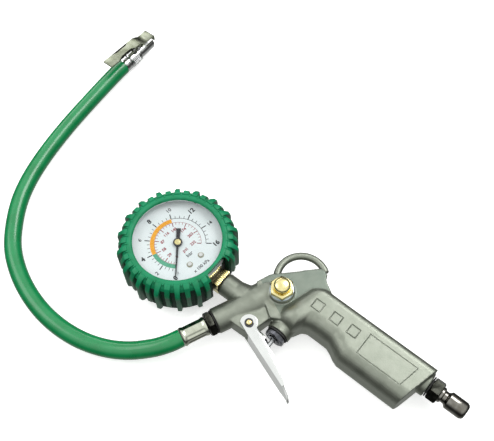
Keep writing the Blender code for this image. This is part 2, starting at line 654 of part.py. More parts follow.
def make_trigger():
    """Pressed channel with two ears, its pin and the clip that keeps the pin in."""
    half = LEVER_WIDTH / 2
    front = -LEVER_WEB
    back = front + LEVER_DEPTH + 1.2 * MM
    tip_back = front + LEVER_TIP_DEPTH
    ear = arc((0.0, 0.0), EAR_R, math.radians(75), math.radians(232), 10)
    outline = [(20.0 * MM, back), (15.0 * MM, back + 2.2 * MM), (9.0 * MM, back + 2.6 * MM),
               (5.0 * MM, back + 0.6 * MM)]
    outline += ear
    outline += [(2.0 * MM, front - 0.2 * MM), (LEVER_LENGTH - 1.5 * MM, front),
                (LEVER_LENGTH, front + 0.9 * MM), (LEVER_LENGTH - 0.4 * MM, tip_back),
                (LEVER_LENGTH - 6 * MM, tip_back + 1.4 * MM)]
    room = [(-9 * MM, front + LEVER_SHEET), (LEVER_LENGTH - 1.4 * MM, front + LEVER_SHEET),
            (LEVER_LENGTH - 1.4 * MM, 20 * MM), (-9 * MM, 20 * MM)]
    window = [(-9 * MM, -9 * MM), (5.5 * MM, -9 * MM), (5.5 * MM, 2 * MM), (-9 * MM, 2 * MM)]
    inner = half - LEVER_SHEET
    lever = plate("trigger_lever", outline, -half, half, CHROME)
    inside = plate("lever_inside", room, -inner, inner, cutter=True)
    lug_room = plate("lever_lug_room", window, -inner, inner, cutter=True)
    hole = rod("lever_hole", PIVOT_R + GAP, -half - 1 * MM, half + 1 * MM, steps=16, cutter=True)
    for piece in (lever, inside, lug_room, hole):
        piece.matrix_basis = lever_frame()
    cut(lever, inside, lug_room, hole)
    head = PIVOT_R + 1.1 * MM
    turned("trigger_pin", [
        (0.0, half + 1.3 * MM), (head - 0.6 * MM, half + 1.3 * MM), (head, half + 0.8 * MM),
        (head, half + GAP), (PIVOT_R, half + GAP), (PIVOT_R, -half - 1.6 * MM),
        (0.0, -half - 1.6 * MM)], STEEL, PIVOT, steps=16)
    ring("trigger_pin_clip", PIVOT_R + GAP, head + 0.3 * MM, -half - 1.2 * MM, -half - 0.5 * MM,
         STEEL, PIVOT, steps=16)


# ------------------------------------------------------------------ bleed valve
def make_bleed_valve():
    """Air release: a nut with the seat under it, a domed button, a poppet and a spring."""
    washer = BLEED_BOSS_TOP + GAP
    head = washer + BLEED_WASHER_THICK + GAP
    top = head + BLEED_HEAD
    shank = BLEED_BORE_R - FIT
    guide = BUTTON_STEM_R + GAP
    seat = 3.0 * MM
    ring("bleed_washer", shank + GAP, BLEED_WASHER_R, washer, washer + BLEED_WASHER_THICK,
         STEEL, BLEED_AT)
    nut = turned("bleed_nut", [
        (guide, top), (BLEED_FLATS / 2 - 1.2 * MM, top),
        (BLEED_FLATS / 2 - 1.2 * MM, head + 0.5 * MM), (shank, head + 0.5 * MM),
        (shank, seat), (guide, seat)], BRASS, BLEED_AT)
    hexagon = prism("bleed_hexagon", 6, BLEED_FLATS, head, top - 0.5 * MM, origin=BLEED_AT,
                    turn=math.radians(2.5), cutter=True)
    hollow = rod("bleed_hollow", shank - 0.5 * MM, head - 1 * MM, top + 1 * MM,
                 origin=BLEED_AT, cutter=True)
    cut(hexagon, hollow)
    join(nut, hexagon)

    base = top + BLEED_STROKE + GAP
    crown = base + BUTTON_HEIGHT
    poppet_top = seat - GAP
    poppet_low = poppet_top - 1.4 * MM
    stem_low = poppet_top + GAP
    dome = [(0.0, crown)]
    for step in range(1, 5):
        angle = math.radians(18 * step)
        dome.append((BUTTON_R * math.sin(angle),
                     base + 1.4 * MM + (BUTTON_HEIGHT - 1.4 * MM) * math.cos(angle)))
    turned("bleed_button", dome + [
        (BUTTON_R, base + 1.2 * MM), (BUTTON_R, base), (BUTTON_STEM_R, base),
        (BUTTON_STEM_R, stem_low), (0.0, stem_low)], BRASS, BLEED_AT)
    rod("bleed_poppet", shank - 0.9 * MM, poppet_low, poppet_top, BLACK_RUBBER, BLEED_AT,
        steps=16)
    coil("bleed_spring", shank - 1.5 * MM, 0.35 * MM, BLEED_BORE_END + GAP, poppet_low - GAP,
         4, STEEL, BLEED_AT, UP)


# ------------------------------------------------------------------ gauge shell
def make_gauge_shell():
    """Steel case, crimped bezel, clear lens and the rubber boot round them."""
    inner = CASE_R - CASE_WALL
    case_profile = [
        (0.0, CASE_BACK + CASE_WALL), (inner - 1.2 * MM, CASE_BACK + CASE_WALL),
        (inner, CASE_BACK + CASE_WALL + 1.2 * MM), (inner, CASE_RIM), (CASE_R, CASE_RIM),
        (CASE_R, CASE_BACK + 1.5 * MM), (CASE_R - 1.5 * MM, CASE_BACK), (0.0, CASE_BACK)]
    case = turned("gauge_case", case_profile, STEEL, parent=GAUGE, steps=DISC_SEGMENTS)
    slot = SOCKET_FLATS + 2 * GAP
    cut(case, block("case_slot", (slot, 8 * MM, slot), Vector((0, -CASE_R, 0)),
                    parent=GAUGE, cutter=True))

    lens_r = inner - 1.0 * MM
    turned("gauge_bezel", [
        (lens_r - 2.0 * MM, BEZEL_TOP), (CASE_R - 1.0 * MM, BEZEL_TOP),
        (CASE_R, LENS_TOP), (CASE_R, CASE_RIM + GAP), (lens_r + GAP, CASE_RIM + GAP),
        (lens_r + GAP, LENS_TOP + GAP), (lens_r - 2.0 * MM, LENS_TOP + GAP)],
        STEEL, parent=GAUGE, steps=DISC_SEGMENTS)
    rod("gauge_lens", lens_r, LENS_Z, LENS_TOP, CLEAR, parent=GAUGE, steps=DISC_SEGMENTS)

    inside = CASE_R + GAP
    side = inside + BOOT_WALL
    lip = BEZEL_TOP + GAP
    back = CASE_BACK - GAP
    boot = turned("gauge_boot", [
        (DIAL_WINDOW_R, lip), (DIAL_WINDOW_R + 0.4 * MM, BOOT_TOP - 0.2 * MM),
        (side - 3.0 * MM, BOOT_TOP), (side - 1.0 * MM, BOOT_TOP - 1.8 * MM),
        (side, BOOT_TOP - 5.0 * MM), (side, -4.0 * MM), (side - 2.0 * MM, -HALF_THICK + 1.5 * MM),
        (side - 4.0 * MM, -HALF_THICK), (22 * MM, -HALF_THICK), (22 * MM, back), (inside, back),
        (inside, lip)], GREEN_RUBBER, parent=GAUGE, steps=BOOT_LUGS)
    room = SOCKET_FLATS + 4 * MM
    lug_ring(boot, side, room / 2)
    notch = block("boot_notch", (room, 14 * MM, 40 * MM), Vector((0, -CASE_R - 6.1 * MM, 0)),
                  parent=GAUGE, cutter=True)
    cut(boot, notch, solver="MANIFOLD")


def lug_ring(boot, side, notch_half):
    """Alternate long and short lugs round the boot, like a tyre's tread.

    The lugs that would reach into the notch for the socket are left out.
    """
    tip = side + BOOT_LUG
    outline = []
    pitch = 2 * math.pi / BOOT_LUGS
    root = side - 0.4 * MM
    for index in range(BOOT_LUGS):
        middle = index * pitch
        reach = tip if index % 2 == 0 else tip - 0.9 * MM
        beside_notch = abs(tip * math.cos(middle)) < notch_half + tip * pitch / 3
        if math.sin(middle) < 0.0 and beside_notch:
            reach = root
        for offset, radius in ((-0.30, root), (-0.24, reach), (0.24, reach), (0.30, root)):
            angle = middle + offset * pitch
            outline.append((radius * math.cos(angle), radius * math.sin(angle)))
    lugs = plate("boot_lugs", outline, -9.0 * MM, BOOT_TOP - 4.5 * MM, parent=GAUGE, cutter=True)
    hollow = rod("boot_lugs_room", side - 1.0 * MM, -HALF_THICK, BOOT_TOP, parent=GAUGE,
                 steps=BOOT_LUGS, cutter=True)
    cut(lugs, hollow)
    join(boot, lugs)


# ------------------------------------------------------------------ gauge works
def make_dial():
    turned("gauge_dial", [
        (ARBOR_R + 1.0 * MM, DIAL_Z + DIAL_THICK), (CASE_R - CASE_WALL - GAP, DIAL_Z + DIAL_THICK),
        (CASE_R - CASE_WALL - GAP, DIAL_Z), (ARBOR_R + 1.0 * MM, DIAL_Z)],
        DIAL_WHITE, parent=GAUGE, steps=DISC_SEGMENTS)
    screw_r = 1.3 * MM
    base = DIAL_Z + DIAL_THICK + GAP
    for number, side in ((1, -1), (2, 1)):
        rod(f"dial_screw_{number}", screw_r, base, base + 0.6 * MM, STEEL,
            dial_place(side * 4.5 * MM, -15.8 * MM), parent=GAUGE, steps=12)
    rod("dial_stop_pin", 0.4 * MM, base, LENS_Z - GAP, STEEL,
        dial_place(*polar(20.5 * MM, SCALE_START + math.radians(4))), parent=GAUGE, steps=8)


def polar(radius, angle):
    return radius * math.cos(angle), radius * math.sin(angle)


def dial_place(x, y):
    """A place on the dial plate, which sits a few degrees turned on the case."""
    turn = Matrix.Rotation(DIAL_TURN, 3, "Z")
    return turn @ Vector((x, y, 0.0))


def make_pointer():
    """Pointer, its boss, and the arbor with the pinion, all turning together."""
    turn = DIAL_TURN + SCALE_START
    low = DIAL_Z + DIAL_THICK + 0.9 * MM
    outline = [(POINTER_LENGTH, 0.12 * MM), (3 * MM, 0.8 * MM), (0.0, 1.6 * MM),
               (-4 * MM, 1.4 * MM), (-POINTER_TAIL, 2.1 * MM), (-POINTER_TAIL, -2.1 * MM),
               (-4 * MM, -1.4 * MM), (0.0, -1.6 * MM), (3 * MM, -0.8 * MM),
               (POINTER_LENGTH, -0.12 * MM)]
    pointer = plate("gauge_pointer", outline, low, low + 0.5 * MM, POINTER_BLACK, parent=GAUGE)
    pointer.matrix_basis = Matrix.Rotation(turn, 4, "Z") @ pointer.matrix_basis
    boss = rod("pointer_boss_blank", POINTER_HUB_R, low - 0.3 * MM, low + 0.8 * MM,
               parent=GAUGE, steps=16, cutter=True)
    join(pointer, boss)
    cut(pointer, rod("pointer_hole", ARBOR_R + GAP, low - 2 * MM, low + 0.6 * MM,
                     parent=GAUGE, steps=12, cutter=True))

    pitch_r = GEAR_MODULE * PINION_TEETH / 2
    pinion = plate("pinion_arbor", gear_outline(PINION_TEETH, pitch_r, 0, PINION_TEETH),
                   4.6 * MM, 6.4 * MM, BRASS, parent=GAUGE)
    pinion.matrix_basis = Matrix.Rotation(sector_direction(), 4, "Z") @ pinion.matrix_basis
    join(pinion, rod("arbor_blank", ARBOR_R, BACK_PLATE_Z - 0.8 * MM, low + 0.3 * MM,
                     parent=GAUGE, steps=12, cutter=True))


def gear_outline(teeth, pitch_r, first, count):
    """Straight-sided teeth; tooth number first is centred on the X axis at zero."""
    outline = []
    step = 2 * math.pi / teeth
    tip_r = pitch_r + 0.85 * GEAR_MODULE
    root_r = pitch_r - 1.15 * GEAR_MODULE
    root_half = 0.85 * GEAR_MODULE
    tip_half = 0.26 * GEAR_MODULE
    for index in range(first, first + count):
        middle = index * step
        for half, radius in ((-root_half, root_r), (-tip_half, tip_r), (tip_half, tip_r),
                             (root_half, root_r)):
            angle = middle + half / radius
            outline.append(polar(radius, angle))
    return outline


def sector_direction():
    """Direction from the arbor to the sector's pivot, in the gauge's own frame."""
    return math.radians(180.0)


def sector_place():
    reach = GEAR_MODULE * (PINION_TEETH + SECTOR_TEETH) / 2 + GEAR_PLAY
    return Vector((*polar(reach, sector_direction()), 0.0))


def make_movement():
    """Bourdon tube, link, toothed sector, plates, pillars, screws and hairspring."""
    sector_at = sector_place()
    pitch_r = GEAR_MODULE * SECTOR_TEETH / 2
    step = 2 * math.pi / SECTOR_TEETH
    half_step = step / 2
    teeth = gear_outline(SECTOR_TEETH, pitch_r, 3 - SECTOR_CUT_TEETH, SECTOR_CUT_TEETH)
    turned_teeth = [tuple(Matrix.Rotation(-half_step, 2) @ Vector(point)) for point in teeth]
    hub = [(1.5 * MM, 2.2 * MM), (-2.0 * MM, 1.9 * MM), (-5.4 * MM, 0.9 * MM),
           (-5.4 * MM, -0.9 * MM), (-2.0 * MM, -1.9 * MM), (-0.5 * MM, -2.6 * MM)]
    sector = plate("sector_gear", turned_teeth + hub,
                   4.9 * MM, 5.9 * MM, BRASS, sector_at, parent=GAUGE)
    join(sector, rod("sector_arbor_blank", 0.9 * MM, BACK_PLATE_Z - 0.8 * MM,
                     FRONT_PLATE_Z + 0.9 * MM, origin=sector_at, parent=GAUGE, steps=12,
                     cutter=True))

    link_at = sector_at + Vector((-4.4 * MM, 0.0, 0.0))
    link_outline = rounded(((-1.0 * MM, -0.9 * MM, 0.4 * MM), (1.0 * MM, -0.9 * MM, 0.4 * MM),
                            (1.0 * MM, 7.4 * MM, 0.4 * MM), (-1.0 * MM, 7.4 * MM, 0.4 * MM)), 2)
    plate("link_bar", link_outline, 6.2 * MM, 6.8 * MM, BRASS, link_at, parent=GAUGE)

    width = 7.0 * MM
    centre_x = sector_at.x / 2
    half_length = -centre_x + 5.5 * MM
    low_x = centre_x - half_length
    high_x = centre_x + half_length
    outline = rounded(((low_x, -width, 2 * MM), (high_x, -width, 2 * MM),
                       (high_x, width, 2 * MM), (low_x, width, 2 * MM)), 2)
    back = plate("movement_back_plate", outline, BACK_PLATE_Z, BACK_PLATE_Z + PLATE_THICK,
                 BRASS, parent=GAUGE)
    front = plate("movement_front_plate", outline, FRONT_PLATE_Z, FRONT_PLATE_Z + PLATE_THICK,
                  BRASS, parent=GAUGE)
    head_base = FRONT_PLATE_Z + PLATE_THICK + GAP
    for index, y in enumerate((-width + 1.9 * MM, width - 1.9 * MM)):
        place = Vector((high_x - 2.0 * MM, y, 0.0))
        pillar_top = FRONT_PLATE_Z - GAP
        join(back, rod(f"pillar_{index}", 1.2 * MM, BACK_PLATE_Z + PLATE_THICK / 2, pillar_top,
                       origin=place, parent=GAUGE, steps=12, cutter=True))
        turned(f"movement_screw_{index + 1}", [
            (0.0, head_base + 0.8 * MM), (1.5 * MM, head_base + 0.8 * MM), (1.5 * MM, head_base),
            (0.6 * MM, head_base), (0.6 * MM, pillar_top + 0.2 * MM),
            (0.0, pillar_top + 0.2 * MM)], STEEL, place, parent=GAUGE, steps=12)
        cut(front, rod(f"screw_hole_{index}", 0.6 * MM + GAP, FRONT_PLATE_Z - 1 * MM,
                       head_base, origin=place, parent=GAUGE, steps=12, cutter=True))
    for name, place, radius in (("arbor", Vector((0, 0, 0)), ARBOR_R),
                                ("sector", sector_at, 0.9 * MM)):
        hole = rod(f"{name}_bearing", radius + GAP, BACK_PLATE_Z - 2 * MM, DIAL_Z, origin=place,
                   parent=GAUGE, steps=12, cutter=True)
        cut(back, hole)
        cut(front, hole)

    bourdon_points = []
    for index in range(25):
        angle = BOURDON_START + BOURDON_SWEEP * index / 24
        bourdon_points.append((*polar(BOURDON_R, angle), 0.0))
    tube("bourdon_tube", bourdon_points, BOURDON_WIRE_R, BRASS, GAUGE, 2)

    spiral = []
    turns = 3
    for index in range(turns * 14 + 1):
        angle = 2 * math.pi * index / 14
        spiral.append((*polar(1.6 * MM + 3.2 * MM * index / (turns * 14), angle), 7.2 * MM))
    tube("hairspring", spiral, 0.16 * MM, BRASS, GAUGE, 0)


def make_socket():
    """Brass socket: port thread, flats outside the case and the block inside it."""
    flats = SOCKET_FLATS
    half = flats / 2
    outer_end = -CASE_R - SOCKET_NECK + GAP + GASKET_THICK
    inner_end = -CASE_R + 9.5 * MM
    socket = block("gauge_socket", (flats, inner_end - outer_end, flats),
                   Vector((0, (inner_end + outer_end) / 2, 0)), BRASS, parent=GAUGE)
    out = Vector((0, -1, 0))
    shank_end = -outer_end + 8.4 * MM
    join(socket, rod("socket_thread", PORT_R - FIT, -outer_end - 1 * MM, shank_end,
                     direction=out, parent=GAUGE, cutter=True))
    cut(socket, rod("socket_bore", 1.6 * MM, -inner_end + 2.5 * MM, shank_end + 1 * MM,
                    direction=out, parent=GAUGE, steps=12, cutter=True))
    shelf_at = Vector((0, inner_end, half + 1.4 * MM))
    shelf = block("socket_shelf", (flats + 2 * MM, 12 * MM, flats), shelf_at,
                  parent=GAUGE, cutter=True)
    cut(socket, shelf)
    tube_end = Vector((*polar(BOURDON_R, BOURDON_START), 0.0))
    tube_room = tube_end + Vector((3 * MM, 0, 0))
    cut(socket, block("socket_tube_room", (7 * MM, 7 * MM, 5 * MM), tube_room,
                      parent=GAUGE, cutter=True))
    ring("gauge_seal", PORT_R, BRANCH_R - 0.8 * MM, BRANCH_LENGTH + GAP,
         BRANCH_LENGTH + GAP + GASKET_THICK - 0.3 * MM, BLACK_RUBBER,
         Vector((BRANCH_AT, 0, 0)), BRANCH_DIR)


# ------------------------------------------------------------------ hose
def smooth_route(points, count):
    """Evenly spaced places on a smooth curve through all but the outermost two points.

    The outermost points are kept as they are, so both ends leave straight.
    """
    dense = []
    for before, start, end, after in zip(points, points[1:], points[2:], points[3:]):
        for step in range(10):
            t = step / 10
            dense.append(0.5 * (2 * start + (end - before) * t
                                + (2 * before - 5 * start + 4 * end - after) * t ** 2
                                + (3 * start - before - 3 * end + after) * t ** 3))
    dense.append(points[-2])
    lengths = [0.0]
    for first, second in zip(dense, dense[1:]):
        lengths.append(lengths[-1] + (second - first).length)
    placed = [points[0]]
    index = 0
    for number in range(count):
        wanted = lengths[-1] * number / (count - 1)
        while index < len(lengths) - 2 and lengths[index + 1] < wanted:
            index += 1
        share = (wanted - lengths[index]) / (lengths[index + 1] - lengths[index])
        placed.append(dense[index].lerp(dense[index + 1], share))
    return placed + [points[-1]]


def make_hose():
    """Hose with its crimped ferrule and the hexagon nut that screws into the barrel."""
    back = Vector((-1, 0, 0))
    shank = PORT_R - FIT
    nut_end = GAP + HOSE_NUT_HEAD
    nut = turned("hose_nut", [
        (1.9 * MM, nut_end + FERRULE_LENGTH - 1 * MM), (2.6 * MM, nut_end + FERRULE_LENGTH - 1 * MM),
        (2.9 * MM, nut_end + 3 * MM), (2.9 * MM, nut_end), (HOSE_NUT_FLATS / 2 - 0.8 * MM, nut_end),
        (HOSE_NUT_FLATS / 2 - 0.8 * MM, GAP + 0.5 * MM), (shank, GAP + 0.5 * MM),
        (shank, -PORT_DEPTH + 1.5 * MM), (1.9 * MM, -PORT_DEPTH + 1.5 * MM)],
        STEEL, direction=back)
    hexagon = prism("hose_hexagon", 6, HOSE_NUT_FLATS, GAP, nut_end - 0.4 * MM, direction=back,
                    turn=math.radians(30), cutter=True)
    hollow = rod("hose_hollow", shank - 0.5 * MM, GAP - 1 * MM, nut_end + 1 * MM, direction=back,
                 cutter=True)
    cut(hexagon, hollow)
    join(nut, hexagon)
    ring("hose_seal", PORT_R, BARREL_R - 0.5 * MM, 0.0, HOSE_SEAL - GAP, BLACK_RUBBER,
         direction=BARREL_DIR)
    ferrule_start = nut_end + GAP
    ferrule_end = ferrule_start + FERRULE_LENGTH
    turned("hose_ferrule", [
        (3.3 * MM, ferrule_end), (FERRULE_R - 0.5 * MM, ferrule_end),
        (FERRULE_R, ferrule_end - 0.6 * MM), (FERRULE_R, ferrule_start + 0.6 * MM),
        (FERRULE_R - 0.5 * MM, ferrule_start), (3.3 * MM, ferrule_start)],
        CHROME, direction=back)
    start = Vector((-ferrule_end - GAP, 0.0, 0.0))
    end = chuck_base() - chuck_direction() * GAP
    route = [start, start + back * HOSE_LEAD]
    for x, y, height in HOSE_ROUTE:
        route.append(Vector((x, y, height)) * MM - UP * HALF_THICK)
    route += [end - chuck_direction() * HOSE_LEAD, end]
    tube("air_hose", smooth_route(route, HOSE_POINTS), HOSE_R, GREEN_RUBBER, resolution=2)


# ------------------------------------------------------------------ chuck
def chuck_base():
    return Vector((HOSE_END[0] * MM, HOSE_END[1] * MM, CHUCK_HEIGHT - HALF_THICK))


def chuck_direction():
    return Vector((math.cos(CHUCK_ANGLE), math.sin(CHUCK_ANGLE), 0.0))


def chuck_frame():
    """Chuck coordinates: X along the chuck, Y across it, Z towards the clip."""
    turn = Matrix.Rotation(CHUCK_ANGLE, 4, "Z")
    return Matrix.Translation(chuck_base()) @ turn @ Matrix.Rotation(-CLIP_ROLL, 4, "X")


def make_chuck():
    """Clip-on chuck: collar, body with its mouth seal and pin, and the sprung clip."""
    base = chuck_base()
    ahead = chuck_direction()
    collar_end = CHUCK_COLLAR
    body_start = collar_end + GAP
    groove = 15.4 * MM
    mouth = CHUCK_LENGTH - 12.0 * MM
    turned("chuck_collar", [
        (2.6 * MM, collar_end), (HOSE_R - 0.2 * MM, collar_end), (HOSE_R, collar_end - 0.6 * MM),
        (HOSE_R, 0.6 * MM), (HOSE_R - 0.4 * MM, 0.0), (2.6 * MM, 0.0)],
        CHROME, base, ahead)
    body = turned("chuck_body", [
        (CHUCK_BORE_R, CHUCK_LENGTH), (CHUCK_NOSE_R - 0.6 * MM, CHUCK_LENGTH),
        (CHUCK_NOSE_R, CHUCK_LENGTH - 0.8 * MM), (CHUCK_NOSE_R, groove + 1.4 * MM),
        (CHUCK_BODY_R, groove + 0.9 * MM), (CHUCK_BODY_R, groove),
        (CHUCK_BODY_R, body_start + 0.6 * MM), (CHUCK_BODY_R - 0.6 * MM, body_start),
        (1.6 * MM, body_start), (1.6 * MM, mouth), (CHUCK_BORE_R, mouth)],
        CHROME, base, ahead)
    lug_low = CHUCK_BODY_R - 2.0 * MM
    lug_top = CHUCK_PIVOT_UP + 1.5 * MM
    lug = block("chuck_lug", (3.6 * MM, CHUCK_LUG, lug_top - lug_low), (0, 0, 0), cutter=True)
    lug.matrix_basis = chuck_frame() @ Matrix.Translation(
        (CHUCK_PIVOT_AT, 0, (lug_low + lug_top) / 2))
    join(body, lug)
    slot = block("chuck_slot", (9 * MM, CLIP_WIDTH + 1.6 * MM, 6 * MM), (0, 0, 0), cutter=True)
    slot.matrix_basis = chuck_frame() @ Matrix.Translation(
        (CHUCK_LENGTH - 3.2 * MM, 0, CHUCK_NOSE_R + 0.2 * MM))
    pin_hole = rod("chuck_pin_hole", CHUCK_PIN_R + GAP, -8 * MM, 8 * MM, steps=12, cutter=True)
    pin_hole.matrix_basis = chuck_frame() @ Matrix.Translation(
        (CHUCK_PIVOT_AT, 0, CHUCK_PIVOT_UP)) @ Matrix.Rotation(math.pi / 2, 4, "X")
    cut(body, slot, pin_hole)
    ring("chuck_seal", 1.9 * MM, CHUCK_BORE_R - GAP, mouth + GAP, mouth + 3.2 * MM,
         BLACK_RUBBER, base, ahead)
    rod("chuck_valve_pin", 1.0 * MM, body_start + 1 * MM, mouth + 5.0 * MM, BRASS, base, ahead,
        steps=12)
    make_clip()


def make_clip():
    """Bent sheet: raised thumb pad, two ears on the pin and the jaw over the mouth."""
    half = CLIP_WIDTH / 2
    top = CHUCK_PIVOT_UP + 3.0 * MM
    end = CHUCK_LENGTH + 1.4 * MM
    upper = [(-13.5 * MM, 17.0 * MM), (-6.0 * MM, 15.4 * MM), (4.0 * MM, top + 2.2 * MM),
             (11.5 * MM, top + 0.4 * MM), (17.0 * MM, top - 0.2 * MM),
             (22.0 * MM, CHUCK_NOSE_R + 2.6 * MM), (end, CHUCK_NOSE_R + 1.9 * MM),
             (end, CHUCK_NOSE_R - 3.2 * MM)]
    lower = [(end - CLIP_SHEET, CHUCK_NOSE_R - 3.2 * MM), (end - CLIP_SHEET, CHUCK_NOSE_R + 0.9 * MM),
             (22.0 * MM, CHUCK_NOSE_R + 1.6 * MM), (17.0 * MM, top - 1.2 * MM),
             (11.5 * MM, top - 0.6 * MM), (4.0 * MM, top + 1.2 * MM), (-6.0 * MM, 14.4 * MM),
             (-13.5 * MM, 16.0 * MM)]
    clip = plate("chuck_clip", upper + lower, -half, half, CHROME, edge_r=0.0)
    pivot = (CHUCK_PIVOT_AT, CHUCK_PIVOT_UP)
    ear_outline = [(pivot[0] - 2.6 * MM, top + 0.2 * MM)] + arc(
        pivot, CLIP_EAR_R, math.radians(180), math.radians(360), 6) + [
        (pivot[0] + 2.6 * MM, top - 0.6 * MM)]
    stand = chuck_frame() @ Matrix.Rotation(math.pi / 2, 4, "X")
    clip.matrix_basis = stand
    ears = []
    for side in (-1, 1):
        low = side * half - (CLIP_SHEET if side > 0 else 0.0)
        ears.append(plate(f"clip_ear_{side}", ear_outline, low, low + CLIP_SHEET, cutter=True))
        ears[-1].matrix_basis = stand @ Matrix.Translation((0, 0, low + CLIP_SHEET / 2))
    join(clip, *ears)
    across = stand @ Matrix.Translation((pivot[0], pivot[1], 0.0))
    hole = rod("clip_hole", CHUCK_PIN_R + GAP, -half - 1 * MM, half + 1 * MM, steps=12, cutter=True)
    hole.matrix_basis = across
    cut(clip, hole)
    pin = turned("chuck_clip_pin", [
        (0.0, half + 0.9 * MM), (1.7 * MM, half + 0.9 * MM), (1.7 * MM, half + GAP),
        (CHUCK_PIN_R, half + GAP), (CHUCK_PIN_R, -half - GAP), (1.7 * MM, -half - GAP),
        (1.7 * MM, -half - 0.9 * MM), (0.0, -half - 0.9 * MM)], STEEL, steps=12)
    pin.matrix_basis = across
    wire_r = 0.2 * MM
    room = (half - CLIP_SHEET - GAP - wire_r) - (CHUCK_LUG / 2 + GAP + wire_r)
    steps = 10
    count = steps - 1     # not quite a full turn, so that the wire's ends stay apart
    points = []
    for index in range(count + 1):
        angle = 2 * math.pi * index / steps + math.pi
        points.append((*polar(CHUCK_PIN_R + 0.6 * MM, angle), room * index / count))
    spring = tube("chuck_clip_spring", points, wire_r, STEEL, resolution=0)
    spring.matrix_basis = across @ Matrix.Translation((0, 0, CHUCK_LUG / 2 + GAP + wire_r))


# ------------------------------------------------------------------ standing the tool
ON_THE_HOSE = ("air_hose", "chuck_")


def stand_on_table():
    """Moves the datum so that the tool's outline is centred and its lowest face is 0."""
    graph = bpy.context.evaluated_depsgraph_get()
    low = Vector((math.inf,) * 3)
    high = Vector((-math.inf,) * 3)
    for obj in PARTS.objects:
        if obj.type != "MESH" or obj.name.startswith(ON_THE_HOSE):
            continue
        evaluated = obj.evaluated_get(graph)
        for vertex in evaluated.data.vertices:
            place = evaluated.matrix_world @ vertex.co
            low = Vector(map(min, low, place))
            high = Vector(map(max, high, place))
    TOOL.location = (-(low.x + high.x) / 2, -(low.y + high.y) / 2, -low.z)
    bpy.context.view_layer.update()
    return TOOL.location


make_casting()
make_inlet()
make_valve()
make_trigger()
make_bleed_valve()
make_gauge_shell()
make_dial()
make_pointer()
make_movement()
make_socket()
make_hose()
make_chuck()
bpy.context.view_layer.update()
datum = stand_on_table()
print("datum in the world, mm:", [round(value / MM, 3) for value in datum])
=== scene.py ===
# %% [markdown]
# # A tyre inflator with a gauge
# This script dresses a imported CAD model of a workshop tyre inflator. The CAD model says
# where every piece is and how it moves. Here each piece gets its real shape and finish,
# one cell at a time, so the file can be read as a lesson.

# %% Load the frame
import math

import bmesh
import bpy
from mathutils import Matrix, Vector


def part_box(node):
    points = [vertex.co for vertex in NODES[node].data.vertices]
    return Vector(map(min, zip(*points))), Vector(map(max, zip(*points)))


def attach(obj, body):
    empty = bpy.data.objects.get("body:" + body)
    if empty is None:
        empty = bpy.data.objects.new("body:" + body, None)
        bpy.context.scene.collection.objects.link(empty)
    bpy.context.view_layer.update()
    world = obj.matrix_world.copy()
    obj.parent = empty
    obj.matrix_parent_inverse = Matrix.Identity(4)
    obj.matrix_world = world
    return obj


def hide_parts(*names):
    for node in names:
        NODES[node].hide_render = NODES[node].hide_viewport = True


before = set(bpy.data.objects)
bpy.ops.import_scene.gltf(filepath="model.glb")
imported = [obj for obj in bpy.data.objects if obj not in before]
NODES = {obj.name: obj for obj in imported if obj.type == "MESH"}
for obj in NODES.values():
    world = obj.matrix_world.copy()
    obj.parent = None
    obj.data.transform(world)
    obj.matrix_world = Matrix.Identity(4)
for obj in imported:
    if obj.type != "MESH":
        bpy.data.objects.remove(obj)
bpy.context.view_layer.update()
MM = 0.001
print("CAD nodes:", len(NODES))

# %% [markdown]
# The camera comes first, because the cord is measured against what it sees. The tool
# lies on a table and is seen from high up in front, a little from the left.

# %% Camera
CAMERA_AT = Vector((-88.5, -133.1, 429.5)) * MM
CAMERA_AIM = Vector((17.9, 71.3, -2.0)) * MM
camera_data = bpy.data.cameras.new("camera")
camera_data.lens = 54.0
camera_data.sensor_width = 36.0
camera_data.clip_start = 0.01
camera = bpy.data.objects.new("camera", camera_data)
camera.location = CAMERA_AT
camera.rotation_euler = (CAMERA_AIM - CAMERA_AT).to_track_quat("-Z", "Y").to_euler()
bpy.context.scene.collection.objects.link(camera)
bpy.context.scene.camera = camera
print("camera is", round((CAMERA_AIM - CAMERA_AT).length, 3), "m from its aim")

# %% [markdown]
# Every place below is worked out from the CAD pieces. The drawing datum is the middle of
# the barrel's hose end: X runs along the barrel, Z up. The gauge has its own datum, in
# the middle of the dial, whose Y points away from the barrel.

# %% Places taken from the frame
def middle(node):
    low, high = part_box(node)
    return (low + high) / 2


UP = Vector((0.0, 0.0, 1.0))
BARREL_DIR = Vector((1.0, 0.0, 0.0))
DATUM = middle("hose_seal")
DATUM.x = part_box("hose_seal")[0].x
HANDLE_ANGLE = math.radians(-66.5)
ALONG = Vector((math.cos(HANDLE_ANGLE), math.sin(HANDLE_ANGLE), 0.0))
ACROSS = Vector((-ALONG.y, ALONG.x, 0.0))
BRANCH_ANGLE = math.radians(114.8)
BRANCH_DIR = Vector((math.cos(BRANCH_ANGLE), math.sin(BRANCH_ANGLE), 0.0))
TOOL = Matrix.Translation(DATUM)
dial_middle = middle("gauge_dial")
GAUGE = Matrix.Translation((dial_middle.x, dial_middle.y, DATUM.z)) @ Matrix.Rotation(
    BRANCH_ANGLE - math.pi / 2, 4, "Z")
print("datum, mm:", [round(v / MM, 2) for v in DATUM])


def in_handle(along, across, z=0.0):
    """A place given by its distances along and across the handle."""
    return ALONG * along + ACROSS * across + UP * z


def frame_at(origin, direction=UP, base=TOOL):
    """A frame whose Z runs along direction and whose X points up where it can."""
    z_axis = Vector(direction).normalized()
    x_axis = UP if abs(z_axis.z) < 0.9 else BARREL_DIR
    x_axis = (x_axis - z_axis * x_axis.dot(z_axis)).normalized()
    y_axis = z_axis.cross(x_axis)
    turn = Matrix((x_axis, y_axis, z_axis)).transposed().to_4x4()
    return base @ Matrix.Translation(origin) @ turn


